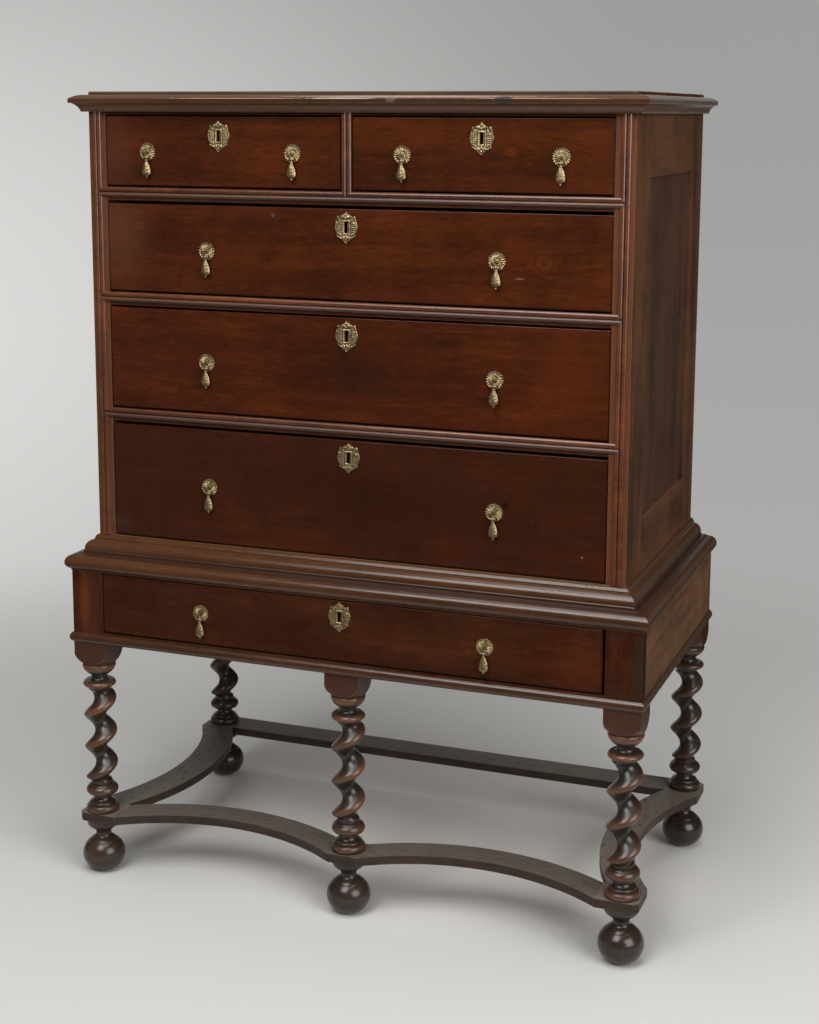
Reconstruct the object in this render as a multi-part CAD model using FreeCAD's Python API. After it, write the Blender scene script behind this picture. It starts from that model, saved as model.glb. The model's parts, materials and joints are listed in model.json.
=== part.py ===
"""Chest of drawers on a turned stand: a high chest with five twist legs.

Frame: millimetres, +Z up, the floor at z = 0, x = 0 in the middle of the width and
y = 0 in the middle of the depth, the front of the chest facing -Y.
Each named node is written as one STEP file in parts/.
"""
import FreeCAD, Part
import math
import os
from collections import namedtuple

V = FreeCAD.Vector

# ---------------------------------------------------------------- driving dimensions
CHEST_TOP = 1451.5

# upper case
CASE_HALF = 493.0
CASE_FRONT = -245.0
CASE_BACK = 280.0
CASE_FOOT = 612.0
OPENING_HALF = 460.0
STILE_THICK = 22.0
FRONT_STILE_DEPTH = 104.0
BACK_STILE_DEPTH = 86.0
PANEL_BOTTOM = 747.0
PANEL_TOP = 1314.0
PANEL_THICK = 8.0
PANEL_SUNK = 8.0
PANEL_TONGUE = 8.0
TOP_BOARD_UNDER = 1428.0
BOTTOM_BOARD_UNDER = 632.0
BACK_BOARD_THICK = 12.0
BACK_BOARDS = 4
RAIL_DEPTH = 60.0
RUNNER_WIDE = 50.0
RUNNER_THICK = 20.0
GUIDE_ABOVE = 30.0
DIVIDER_HALF = 9.0

# each divider rail: underside, underside of its bead, top
RAIL_LEVELS = ((1263.0, 1268.0, 1286.0), (1077.0, 1082.0, 1100.0), (867.0, 872.0, 890.0))
BOTTOM_BOARD_TOP = 653.0
TOP_RAIL_UNDER = 1412.0

# double-arch beads
BEAD_PROUD = 4.0
STILE_BEAD_IN = 469.0
STILE_BEAD_WIDE = 17.0

# stand
WAIST_LEDGE = 620.0
STAND_HALF = 533.0
STAND_FRONT = -280.0
STAND_BACK = 290.0
STAND_UNDER = 453.0
STAND_OPENING_HALF = 470.5
STAND_RAIL_TOP = 475.0
STAND_TOP_RAIL_UNDER = 588.5
STAND_BOARD = 22.0
STAND_STILE_THICK = 24.0
LEDGE_WIDE = 60.0
POST = 64.0
LOWER_BEAD_HIGH = 18.0
LOWER_BEAD_PROUD = 6.0

# legs
LEG_X = 501.0
LEG_FRONT_Y = STAND_FRONT + POST / 2
MIDDLE_LEG_Y = LEG_FRONT_Y + 4.0
LEG_BACK_Y = STAND_BACK - POST / 2
BLOCK_FOOT = 409.5
TWIST_PITCH = 62.5
TWIST_LOW = 176.0
TWIST_HIGH = 359.0
TWIST_CORE = 20.4
TWIST_THROW = 9.7
TWIST_END_CORE = 19.6
TWIST_RUN_IN = 10.0
LEG_TENON_R = 12.0
LEG_TENON_UP = 18.0
FOOT_TENON_R = 9.0
FOOT_TENON_DOWN = 26.0

# stretchers and feet
STRETCHER_UNDER = 102.0
STRETCHER_TOP = 117.5
PAD_OUT = 34.0
PAD_FRONT = 29.0
PAD_REAR = 35.0
PAD_CLIP = 8.0
PAD_JOINT = 41.0
MIDDLE_PAD_HALF = 28.0
FRONT_BOW = (-209.0, -154.0)
SIDE_BOW = (411.0, 474.0)
SIDE_BOW_END = 468.0
SIDE_BOW_FADE = 40.0
REAR_STRETCHER = (229.0, 291.0)
BALL_R = 39.5
BALL_WIDEST = 33.0
BALL_FLAT = 12.0
BALL_TOP = 58.0

# drawers
FRONT_THICK = 20.0
FRONT_GAP = 1.0
FRONT_LIFT = 2.5
BOX_GAP = 3.0
BOX_LIFT = 0.3
BOX_BELOW_FRONT_TOP = 9.0
BOX_SIDE = 11.0
BOX_BACK = 11.0
BOX_BOTTOM = 7.0
BOX_BOTTOM_UP = 8.0
BOX_DEPTH = 470.0

# brasses
ROSETTE_R = 14.9
ROSETTE_LOBES = 12
ROSETTE_PLATE = 1.8
ROSETTE_DOME_R = 11.0
ROSETTE_DOME = 2.2
PIVOT_DOWN = 10.0
PIVOT_OUT = 6.6
PIN_R = 1.2
PIN_CLEARANCE = 0.05
EYE_R = 2.5
EYE_HALF = 2.3
EAR_IN = 2.6
EAR_OUT = 4.4
EAR_R = 2.2
DROP_FLATTEN = 4.6 / 8.0
ESCUTCHEON_THICK = 1.8
KEYHOLE_HALF = 2.7
KEYHOLE_HIGH = 18.0
LOCK_HALF = 32.0
LOCK_HIGH = 46.0
LOCK_THICK = 10.0
LOCK_BELOW_TOP = 3.0
BOLT_HALF = 9.0
BOLT_THICK = 5.0
BOLT_LONG = 30.0
BOLT_CLEARANCE = 0.3
MORTISE_DEEP = 12.0

Drawer = namedtuple("Drawer", "name x0 x1 floor top pull_xs pull_z key_x key_z front_y")
DRAWERS = (
    Drawer("top_left", -OPENING_HALF, -DIVIDER_HALF, RAIL_LEVELS[0][2], 1409.0,
           (-376.5, -98.8), 1348.0, -237.8, 1375.6, CASE_FRONT),
    Drawer("top_right", DIVIDER_HALF, OPENING_HALF, RAIL_LEVELS[0][2], 1409.0,
           (100.0, 372.0), 1348.0, 237.6, 1375.6, CASE_FRONT),
    Drawer("second", -OPENING_HALF, OPENING_HALF, RAIL_LEVELS[1][2], 1257.0,
           (-264.0, 266.0), 1177.9, -0.8, 1225.6, CASE_FRONT),
    Drawer("third", -OPENING_HALF, OPENING_HALF, RAIL_LEVELS[2][2], 1073.0,
           (-267.5, 264.5), 981.7, -0.6, 1041.2, CASE_FRONT),
    Drawer("fourth", -OPENING_HALF, OPENING_HALF, BOTTOM_BOARD_TOP, 861.0,
           (-266.0, 266.0), 757.6, 2.4, 830.6, CASE_FRONT),
    Drawer("stand", -STAND_OPENING_HALF, STAND_OPENING_HALF - 3.5, STAND_RAIL_TOP, 586.0,
           (-269.5, 263.5), 534.2, -0.8, 557.0, STAND_FRONT),
)

LEGS = (
    ("leg_front_left", -LEG_X, LEG_FRONT_Y, -116.0),
    ("leg_front_middle", 0.0, MIDDLE_LEG_Y, -136.0),
    ("leg_front_right", LEG_X, LEG_FRONT_Y, -106.0),
    ("leg_rear_left", -LEG_X, LEG_BACK_Y, -116.0),
    ("leg_rear_right", LEG_X, LEG_BACK_Y, -98.0),
)


# ---------------------------------------------------------------- small tools
def box(x0, x1, y0, y1, z0, z1):
    """An upright box between two corners."""
    return Part.makeBox(x1 - x0, y1 - y0, z1 - z0, V(x0, y0, z0))


def outline(start, steps, place):
    """A closed wire through steps, each (end,) for a line or (mid, end) for an arc."""
    edges = []
    here = start
    for step in steps:
        end = step[-1]
        if len(step) == 1:
            edges.append(Part.LineSegment(place(*here), place(*end)).toShape())
        else:
            edges.append(Part.Arc(place(*here), place(*step[0]), place(*end)).toShape())
        here = end
    if here != start:
        edges.append(Part.LineSegment(place(*here), place(*start)).toShape())
    return Part.Wire(edges)


def prism(points, z0, z1):
    """A flat polygon in plan raised from z0 to z1."""
    corners = [V(x, y, z0) for x, y in points]
    return Part.Face(Part.makePolygon(corners + corners[:1])).extrude(V(0, 0, z1 - z0))


def turned(start, steps):
    """A solid turned about the z axis from a half profile of (radius, height)."""
    face = Part.Face(outline(start, steps, lambda r, z: V(r, 0, z)))
    return face.revolve(V(0, 0, 0), V(0, 0, 1), 360)


def cylinder(radius, z0, z1, x=0.0, y=0.0):
    """An upright cylinder."""
    return Part.makeCylinder(radius, z1 - z0, V(x, y, z0))


def moved(shape, x=0.0, y=0.0, z=0.0):
    """A copy of shape moved by a vector."""
    return shape.translated(V(x, y, z))


def mirrored(shape):
    """The copy of shape on the other side of x = 0."""
    return shape.mirror(V(0, 0, 0), V(1, 0, 0))


def fused(shapes):
    """One solid from several that touch or overlap."""
    return shapes[0].multiFuse(shapes[1:]).removeSplitter()


def cut(shape, tools):
    """Shape less every tool."""
    for tool in tools:
        shape = shape.cut(tool)
    return shape


def export(name, solids):
    """Write the solids of one node to parts/NAME.step."""
    shape = solids[0] if len(solids) == 1 else Part.makeCompound(solids)
    assert shape.isValid(), name
    shape.exportStep("parts/%s.step" % name)


# ---------------------------------------------------------------- mouldings
def moulding(start, steps, half, front, back, inset=0.0):
    """Front run and two mitred returns of a profile given as (outward, height).

    inset is how far the profile reaches behind the face that it is planted on.
    """
    reach = 60.0
    inner = inset + 1.0
    side_face = Part.Face(outline(start, steps, lambda e, z: V(half + e, front - reach, z)))
    side = side_face.extrude(V(0, back - front + reach, 0))
    side_plan = prism([(half - inner, front + inner), (half + reach, front - reach),
                       (half + reach, back), (half - inner, back)], 0, CHEST_TOP + reach)
    side = side.common(side_plan)
    front_face = Part.Face(outline(start, steps, lambda e, z: V(-half - reach, front - e, z)))
    run = front_face.extrude(V(2 * (half + reach), 0, 0))
    front_plan = prism([(-half + inner, front + inner), (half - inner, front + inner),
                        (half + reach, front - reach), (-half - reach, front - reach)],
                       0, CHEST_TOP + reach)
    run = run.common(front_plan)
    return [run, side, mirrored(side)]


def cornice():
    """Cornice: a fillet, a cove, a nose and a low rounded top."""
    return moulding((0, 1416.5),
                    [((10.0, 1416.5),), ((10.4, 1418.0),), ((13.8, 1424.6), (20.8, 1430.6)),
                     ((22.4, 1431.5),), ((26.4, 1431.5),), ((26.4, 1439.0),),
                     ((17.5, 1443.8), (6.0, 1446.0)), ((0, 1446.0),)],
                    CASE_HALF, CASE_FRONT, CASE_BACK)


def waist_mouldings():
    """The ovolo against the foot of the case and the bold nose round the stand's top."""
    inset = CASE_FRONT - STAND_FRONT
    foot = STAND_TOP_RAIL_UNDER
    ovolo = moulding((0, WAIST_LEDGE),
                     [((22.0, WAIST_LEDGE),), ((22.0, 624.0),), ((20.6, 625.5),),
                      ((17.5, 637.5), (7.0, 643.5)), ((7.0, 646.0),), ((4.9, 650.3),),
                      ((0, BOTTOM_BOARD_TOP),)],
                     CASE_HALF, CASE_FRONT, CASE_BACK)
    nose = moulding((0, foot),
                    [((1.2, foot),), ((1.2, foot + 3),), ((10.0, 603.5), (-3.0, 617.6)),
                     ((-9.0, 618.6), (-12.0, WAIST_LEDGE)), ((-inset, WAIST_LEDGE),),
                     ((-inset, CASE_FOOT),), ((0, CASE_FOOT),)],
                    STAND_HALF, STAND_FRONT, STAND_BACK, inset)
    return ovolo + nose


def lower_bead():
    """Half-round bead round the stand's lower edge."""
    top = STAND_UNDER + LOWER_BEAD_HIGH
    middle = STAND_UNDER + LOWER_BEAD_HIGH / 2
    return moulding((0, STAND_UNDER),
                    [((1.0, STAND_UNDER),), ((LOWER_BEAD_PROUD, middle), (1.0, top)), ((0, top),)],
                    STAND_HALF, STAND_FRONT, STAND_BACK)


def upright_arch(x0, x1, z0, z1):
    """A half-round bead standing on the case's front."""
    place = lambda x, y: V(x, y, z0)
    face = Part.Face(outline((x0, CASE_FRONT), [(((x0 + x1) / 2, CASE_FRONT - BEAD_PROUD),
                                                 (x1, CASE_FRONT))], place))
    return face.extrude(V(0, 0, z1 - z0))


def level_arch(x0, x1, z0, z1):
    """A half-round bead lying across the case's front."""
    place = lambda y, z: V(x0, y, z)
    face = Part.Face(outline((CASE_FRONT, z0), [((CASE_FRONT - BEAD_PROUD, (z0 + z1) / 2),
                                                 (CASE_FRONT, z1))], place))
    return face.extrude(V(x1 - x0, 0, 0))


def mitre_wedge(points):
    """A wedge in front of the case for cutting mitres, from (x, z) points."""
    corners = [V(x, CASE_FRONT + 1, z) for x, z in points]
    return Part.Face(Part.makePolygon(corners + corners[:1])).extrude(V(0, -2 - BEAD_PROUD, 0))


def case_beads():
    """Double-arch beads: two arches on every stile and rail, mitred where they meet."""
    groove = STILE_BEAD_IN + STILE_BEAD_WIDE / 2
    bead_out = STILE_BEAD_IN + STILE_BEAD_WIDE
    z_low, z_high = BOTTOM_BOARD_TOP, 1416.5
    solids = []
    stile_wedges = []
    for under, low, top in RAIL_LEVELS:
        middle = (low + top) / 2
        ends = [(STILE_BEAD_IN, low), (groove, middle), (STILE_BEAD_IN, top)]
        stile_wedges.append(mitre_wedge(ends))
        hexagon = mitre_wedge(ends[::-1] + [(-x, z) for x, z in ends])
        lower = level_arch(-groove, groove, low, middle).common(hexagon)
        upper = level_arch(-groove, groove, middle, top).common(hexagon)
        if top == RAIL_LEVELS[0][2]:
            foot = [(-DIVIDER_HALF, top), (0, middle), (DIVIDER_HALF, top)]
            upper = upper.cut(mitre_wedge(foot))
            keep = mitre_wedge(foot + [(DIVIDER_HALF, z_high), (-DIVIDER_HALF, z_high)])
            for x in (-DIVIDER_HALF, 0.0):
                solids.append(upright_arch(x, x + DIVIDER_HALF, middle, z_high).common(keep))
        solids += upper.Solids + [lower]
    inner = cut(upright_arch(STILE_BEAD_IN, groove, z_low, z_high), stile_wedges)
    outer = upright_arch(groove, bead_out, z_low, z_high)
    for solid in inner.Solids + [outer]:
        solids += [solid, mirrored(solid)]
    return solids


# ---------------------------------------------------------------- upper case
def side_panel():
    """The sunk panel of the right side, with its tongues."""
    x1 = CASE_HALF - PANEL_SUNK
    y0 = CASE_FRONT + FRONT_STILE_DEPTH
    y1 = CASE_BACK - BACK_STILE_DEPTH
    return box(x1 - PANEL_THICK, x1, y0 - PANEL_TONGUE, y1 + PANEL_TONGUE,
               PANEL_BOTTOM - PANEL_TONGUE, PANEL_TOP + PANEL_TONGUE)


def side_frame():
    """Stiles and rails of the right side, grooved for the panel."""
    inner = CASE_HALF - STILE_THICK
    y0 = CASE_FRONT + FRONT_STILE_DEPTH
    y1 = CASE_BACK - BACK_STILE_DEPTH
    pieces = (
        box(OPENING_HALF, CASE_HALF, CASE_FRONT, y0, CASE_FOOT, TOP_BOARD_UNDER),
        box(inner, CASE_HALF, y1, CASE_BACK, CASE_FOOT, TOP_BOARD_UNDER),
        box(inner, CASE_HALF, y0, y1, CASE_FOOT, PANEL_BOTTOM),
        box(inner, CASE_HALF, y0, y1, PANEL_TOP, TOP_BOARD_UNDER),
    )
    return [piece.cut(side_panel()) for piece in pieces]


def top_board():
    """Top board with its edges rounded."""
    board = box(-CASE_HALF, CASE_HALF, CASE_FRONT, CASE_BACK, TOP_BOARD_UNDER, CHEST_TOP)
    rim = [edge for edge in board.Edges
           if all(v.Z > CHEST_TOP - 0.1 for v in edge.Vertexes)
           and not all(v.Y > CASE_BACK - 0.1 for v in edge.Vertexes)]
    return board.makeFillet(2.5, rim)


def bolt_mortise(drawer, ceiling):
    """The mortise above a drawer's lock bolt."""
    y0 = drawer.front_y + FRONT_THICK + (LOCK_THICK - BOLT_THICK) / 2
    half = BOLT_HALF + 1
    return box(drawer.key_x - half, drawer.key_x + half, y0 - 1, y0 + BOLT_THICK + 1,
               ceiling - 1, ceiling + MORTISE_DEEP)


def case_rails():
    """Three divider rails, the top rail and the upright divider of the top drawers."""
    depth = CASE_FRONT + RAIL_DEPTH
    rails = [box(-OPENING_HALF, OPENING_HALF, CASE_FRONT, depth, under, top)
             for under, _, top in RAIL_LEVELS]
    top_rail = box(-OPENING_HALF, OPENING_HALF, CASE_FRONT, depth, TOP_RAIL_UNDER, TOP_BOARD_UNDER)
    for drawer in DRAWERS[:2]:
        top_rail = top_rail.cut(bolt_mortise(drawer, TOP_RAIL_UNDER))
    rails = [rail.cut(bolt_mortise(drawer, levels[0]))
             for rail, drawer, levels in zip(rails, DRAWERS[2:5], RAIL_LEVELS)]
    divider = box(-DIVIDER_HALF, DIVIDER_HALF, CASE_FRONT, CASE_BACK - BACK_BOARD_THICK,
                  RAIL_LEVELS[0][2], TOP_RAIL_UNDER)
    return rails + [top_rail, divider]


def case_runners():
    """Runners and guides inside the case, and the wide runner under the divider."""
    y0 = CASE_FRONT + RAIL_DEPTH
    y1 = CASE_BACK - BACK_BOARD_THICK
    inner = CASE_HALF - STILE_THICK
    stile_end = CASE_FRONT + FRONT_STILE_DEPTH
    solids = []
    for _, _, top in RAIL_LEVELS:
        runner = box(OPENING_HALF - RUNNER_WIDE, OPENING_HALF, y0, y1, top - RUNNER_THICK, top)
        guide = box(OPENING_HALF, inner, stile_end, y1, top - RUNNER_THICK, top + GUIDE_ABOVE)
        solids += [runner, guide, mirrored(runner), mirrored(guide)]
    guide = box(OPENING_HALF, inner, stile_end, y1, BOTTOM_BOARD_TOP, BOTTOM_BOARD_TOP + GUIDE_ABOVE)
    top = RAIL_LEVELS[0][2]
    centre = box(-RUNNER_WIDE, RUNNER_WIDE, y0, y1, top - RUNNER_THICK, top)
    return solids + [guide, mirrored(guide), centre]


def case_bottom():
    """Bottom board, notched round the front stiles."""
    inner = CASE_HALF - STILE_THICK
    y_stile = CASE_FRONT + FRONT_STILE_DEPTH
    wide = box(-inner, inner, y_stile, CASE_BACK - BACK_BOARD_THICK,
               BOTTOM_BOARD_UNDER, BOTTOM_BOARD_TOP)
    narrow = box(-OPENING_HALF, OPENING_HALF, CASE_FRONT, y_stile,
                 BOTTOM_BOARD_UNDER, BOTTOM_BOARD_TOP)
    return [fused([wide, narrow])]


def case_back():
    """Back boards, nailed across between the back stiles."""
    inner = CASE_HALF - STILE_THICK
    step = (TOP_BOARD_UNDER - CASE_FOOT) / BACK_BOARDS
    return [box(-inner, inner, CASE_BACK - BACK_BOARD_THICK, CASE_BACK,
                CASE_FOOT + i * step, CASE_FOOT + (i + 1) * step) for i in range(BACK_BOARDS)]


# ---------------------------------------------------------------- stand
def leg_tenons():
    """The round tenons at the head of each leg."""
    return [cylinder(LEG_TENON_R, STAND_UNDER - 1, STAND_UNDER + LEG_TENON_UP, x, y)
            for _, x, y, _ in LEGS]


def stand_front():
    """Front stiles, corner blocks behind them, and the two front rails."""
    stile_back = STAND_FRONT + STAND_STILE_THICK
    board = STAND_HALF - STAND_BOARD
    stile = box(STAND_OPENING_HALF, STAND_HALF, STAND_FRONT, stile_back,
                STAND_UNDER, STAND_TOP_RAIL_UNDER)
    block = box(STAND_OPENING_HALF, board, stile_back, STAND_FRONT + POST,
                STAND_UNDER, STAND_TOP_RAIL_UNDER)
    lower = box(-STAND_OPENING_HALF, STAND_OPENING_HALF, STAND_FRONT, STAND_FRONT + POST,
                STAND_UNDER, STAND_RAIL_TOP)
    upper = fused([box(-STAND_HALF, STAND_HALF, STAND_FRONT, stile_back,
                       STAND_TOP_RAIL_UNDER, CASE_FOOT),
                   box(-board, board, stile_back, STAND_FRONT + POST + 16,
                       STAND_TOP_RAIL_UNDER, CASE_FOOT)])
    upper = upper.cut(bolt_mortise(DRAWERS[5], STAND_TOP_RAIL_UNDER))
    pieces = [stile, mirrored(stile), block, mirrored(block), lower, upper]
    return [cut(piece, leg_tenons()) for piece in pieces]


def stand_sides():
    """Side and back boards of the stand with the rear corner blocks."""
    board = STAND_HALF - STAND_BOARD
    side = box(board, STAND_HALF, STAND_FRONT + STAND_STILE_THICK, STAND_BACK,
               STAND_UNDER, CASE_FOOT)
    back = box(-board, board, STAND_BACK - STAND_BOARD, STAND_BACK, STAND_UNDER, CASE_FOOT)
    block = box(STAND_OPENING_HALF, board, STAND_BACK - POST, STAND_BACK - STAND_BOARD,
                STAND_UNDER, STAND_TOP_RAIL_UNDER)
    pieces = [side, mirrored(side), back, block, mirrored(block)]
    return [cut(piece, leg_tenons()) for piece in pieces]


def stand_runners():
    """Runners and guides of the stand's drawer, and the ledges that carry the case."""
    board = STAND_HALF - STAND_BOARD
    y0 = STAND_FRONT + POST
    y1 = STAND_BACK - STAND_BOARD
    guide_end = STAND_BACK - POST
    runner = box(STAND_OPENING_HALF - RUNNER_WIDE, STAND_OPENING_HALF, y0, y1,
                 STAND_RAIL_TOP - RUNNER_THICK, STAND_RAIL_TOP)
    guide = box(STAND_OPENING_HALF, board, y0, guide_end,
                STAND_RAIL_TOP - RUNNER_THICK, STAND_RAIL_TOP + GUIDE_ABOVE)
    ledge = box(board - LEDGE_WIDE, board, y0 + 16, y1, STAND_TOP_RAIL_UNDER + 2, CASE_FOOT)
    back_ledge = box(-board + LEDGE_WIDE, board - LEDGE_WIDE, y1 - LEDGE_WIDE, y1,
                     STAND_TOP_RAIL_UNDER + 2, CASE_FOOT)
    return [runner, mirrored(runner), guide, mirrored(guide), ledge, mirrored(ledge), back_ledge]


# ---------------------------------------------------------------- legs and feet
def twist(start_angle):
    """Single-start right-hand twist: a round section carried round the leg's axis."""
    sections = []
    count = 46
    for i in range(count + 1):
        z = TWIST_LOW + (TWIST_HIGH - TWIST_LOW) * i / count
        run_in = min(1.0, (z - TWIST_LOW) / TWIST_RUN_IN, (TWIST_HIGH - z) / TWIST_RUN_IN)
        ease = run_in * run_in * (3 - 2 * run_in)
        angle = math.radians(start_angle + 360.0 * z / TWIST_PITCH)
        centre = V(TWIST_THROW * ease * math.cos(angle), TWIST_THROW * ease * math.sin(angle), z)
        radius = TWIST_END_CORE + (TWIST_CORE - TWIST_END_CORE) * ease
        sections.append(Part.Wire([Part.Circle(centre, V(0, 0, 1), radius).toShape()]))
    return Part.makeLoft(sections, True)


def leg(start_angle):
    """One leg: base, lower ring, twist, upper ring, cup, square block and two tenons."""
    base = turned((0, STRETCHER_TOP),
                  [((27.5, STRETCHER_TOP),), ((30.5, 124.0), (27.0, 130.5)), ((24.0, 131.2),),
                   ((24.6, 134.0), (23.0, 136.5)), ((17.8, 139.5), (15.6, 146.0)),
                   ((15.6, 149.5),), ((24.0, 151.5),), ((28.0, 154.3), (29.8, 160.0)),
                   ((28.6, 163.8), (23.6, 168.8)), ((21.8, 170.6), (19.0, 171.2)),
                   ((19.0, 173.0),), ((TWIST_END_CORE, TWIST_LOW),), ((0, TWIST_LOW),)])
    head = turned((0, TWIST_HIGH),
                  [((TWIST_END_CORE, TWIST_HIGH),), ((21.0, 361.8),), ((27.5, 363.2), (30.5, 368.0)),
                   ((28.0, 372.2), (21.5, 374.0)), ((16.4, 376.0), (14.8, 381.0)),
                   ((15.2, 384.5),), ((17.5, 386.0),), ((25.5, 391.8), (30.4, 400.5)),
                   ((30.8, 403.6), (29.8, 406.4)), ((28.2, 407.4),), ((28.2, 408.4),),
                   ((30.6, BLOCK_FOOT),), ((0, BLOCK_FOOT),)])
    square = box(-POST / 2, POST / 2, -POST / 2, POST / 2, BLOCK_FOOT, STAND_UNDER)
    shoulder = turned((0, BLOCK_FOOT), [((30.6, BLOCK_FOOT),), ((40.0, 417.5), (46.0, 440.0)),
                                        ((46.0, STAND_UNDER),), ((0, STAND_UNDER),)])
    tenon = cylinder(LEG_TENON_R, STAND_UNDER, STAND_UNDER + LEG_TENON_UP)
    peg = cylinder(FOOT_TENON_R, STRETCHER_TOP - FOOT_TENON_DOWN - 10, STRETCHER_TOP)
    return fused([base, twist(start_angle), head, square.common(shoulder), tenon, peg])


def foot():
    """Ball foot with an incised ring, a neck and a flared top, bored for the leg's peg."""
    body = turned((0, 0), [((BALL_FLAT, 0),), ((29.7, 9.3), (BALL_R, BALL_WIDEST)),
                           ((36.5, 46.6), (27.6, BALL_TOP)), ((26.6, 57.9),), ((26.2, 59.1),),
                           ((22.6, 62.6), (18.4, 65.4)), ((15.3, 68.6), (14.2, 73.0)),
                           ((14.2, 75.0),), ((18.2, 81.2), (25.6, 86.4)),
                           ((29.4, 91.5), (30.5, 98.5)), ((30.5, STRETCHER_UNDER),),
                           ((0, STRETCHER_UNDER),)])
    bore = cylinder(FOOT_TENON_R, STRETCHER_TOP - FOOT_TENON_DOWN - 10, STRETCHER_UNDER + 1)
    return body.cut(bore)


# ---------------------------------------------------------------- stretchers
def flat_board(start, steps):
    """A stretcher board from its outline in plan."""
    face = Part.Face(outline(start, steps, lambda x, y: V(x, y, STRETCHER_UNDER)))
    return face.extrude(V(0, 0, STRETCHER_TOP - STRETCHER_UNDER))


def tenon_key(x, y, reach):
    """The flat tenon that joins a stretcher into a pad, from x by reach along x."""
    x0, x1 = sorted((x, x + reach))
    middle = (STRETCHER_UNDER + STRETCHER_TOP) / 2
    return box(x0, x1, y - 18, y + 18, middle - 3, middle + 3)


def peg_hole(x, y):
    """The hole for a leg's peg through a pad."""
    return cylinder(FOOT_TENON_R, STRETCHER_UNDER - 1, STRETCHER_TOP + 1, x, y)


def side_stretcher():
    """The right side stretcher: a board that bows inwards, with a clipped pad at each end."""
    joint, out = LEG_X - PAD_JOINT, LEG_X + PAD_OUT
    front, rear = LEG_FRONT_Y - PAD_FRONT, REAR_STRETCHER[1]
    front_in, rear_in = LEG_FRONT_Y + PAD_REAR, REAR_STRETCHER[0]
    middle = (front_in + rear_in) / 2
    whole = flat_board((joint, front),
                       [((out - PAD_CLIP, front),), ((out, front + PAD_CLIP),),
                        ((out, LEG_FRONT_Y + SIDE_BOW_FADE),),
                        ((SIDE_BOW[1], middle), (out, LEG_BACK_Y - SIDE_BOW_FADE)),
                        ((out, rear - PAD_CLIP),), ((out - PAD_CLIP, rear),), ((joint, rear),),
                        ((joint, rear_in),), ((SIDE_BOW_END, rear_in),),
                        ((SIDE_BOW[0], middle), (SIDE_BOW_END, front_in)), ((joint, front_in),)])
    return cut(whole, [tenon_key(joint, LEG_FRONT_Y, 16), tenon_key(joint, LEG_BACK_Y, 16),
                       peg_hole(LEG_X, LEG_FRONT_Y), peg_hole(LEG_X, LEG_BACK_Y)])


def front_stretchers():
    """Two bowed boards that meet at the middle leg's pad, which the left one carries."""
    joint = LEG_X - PAD_JOINT
    middle = (MIDDLE_PAD_HALF + joint) / 2
    front, rear = LEG_FRONT_Y - PAD_FRONT, LEG_FRONT_Y + PAD_REAR
    bowed = flat_board((MIDDLE_PAD_HALF, front),
                       [((middle, FRONT_BOW[0]), (joint, front)), ((joint, rear),),
                        ((middle, FRONT_BOW[1]), (MIDDLE_PAD_HALF, rear))])
    middle_pad = box(-MIDDLE_PAD_HALF, MIDDLE_PAD_HALF, front, rear, STRETCHER_UNDER, STRETCHER_TOP)
    right = fused([bowed, tenon_key(joint, LEG_FRONT_Y, 16),
                   tenon_key(MIDDLE_PAD_HALF, LEG_FRONT_Y, -10)])
    left = fused([mirrored(bowed), middle_pad, tenon_key(-joint, LEG_FRONT_Y, -16)])
    return [cut(left, [right, peg_hole(0.0, MIDDLE_LEG_Y)]), right]


def rear_stretcher():
    """The straight rear board."""
    joint = LEG_X - PAD_JOINT
    plank = box(-joint, joint, REAR_STRETCHER[0], REAR_STRETCHER[1], STRETCHER_UNDER, STRETCHER_TOP)
    return fused([plank, tenon_key(joint, LEG_BACK_Y, 16), tenon_key(-joint, LEG_BACK_Y, -16)])


# ---------------------------------------------------------------- drawers and brasses
def keyhole(drawer):
    """The keyhole, cut through escutcheon and drawer front."""
    x, z, y = drawer.key_x, drawer.key_z, drawer.front_y
    slot = box(x - KEYHOLE_HALF, x + KEYHOLE_HALF, y - 5, y + FRONT_THICK + 1,
               z - KEYHOLE_HIGH / 2, z + KEYHOLE_HIGH / 2 - KEYHOLE_HALF)
    eye = Part.makeCylinder(KEYHOLE_HALF + 0.6, FRONT_THICK + 6,
                            V(x, y - 5, z + KEYHOLE_HIGH / 2 - KEYHOLE_HALF), V(0, 1, 0))
    return slot.fuse(eye)


def drawer_front(drawer):
    """The drawer's front board with its edges eased."""
    board = box(drawer.x0 + FRONT_GAP, drawer.x1 - FRONT_GAP, drawer.front_y,
                drawer.front_y + FRONT_THICK, drawer.floor + FRONT_LIFT, drawer.top)
    rim = [edge for edge in board.Edges
           if all(v.Y < drawer.front_y + 0.1 for v in edge.Vertexes)]
    return board.makeFillet(1.2, rim).cut(keyhole(drawer))


def drawer_box(drawer):
    """Two sides, the back and the bottom of a drawer."""
    x0, x1 = drawer.x0 + BOX_GAP, drawer.x1 - BOX_GAP
    y0 = drawer.front_y + FRONT_THICK
    y1 = y0 + BOX_DEPTH
    z0 = drawer.floor + BOX_LIFT
    z1 = drawer.top - BOX_BELOW_FRONT_TOP
    bottom = box(x0 + BOX_SIDE, x1 - BOX_SIDE, y0, y1 - BOX_BACK,
                 z0 + BOX_BOTTOM_UP, z0 + BOX_BOTTOM_UP + BOX_BOTTOM)
    return [box(x0, x0 + BOX_SIDE, y0, y1, z0, z1),
            box(x1 - BOX_SIDE, x1, y0, y1, z0, z1),
            box(x0 + BOX_SIDE, x1 - BOX_SIDE, y1 - BOX_BACK, y1, z0 + BOX_BOTTOM_UP, z1),
            bottom]


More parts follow.
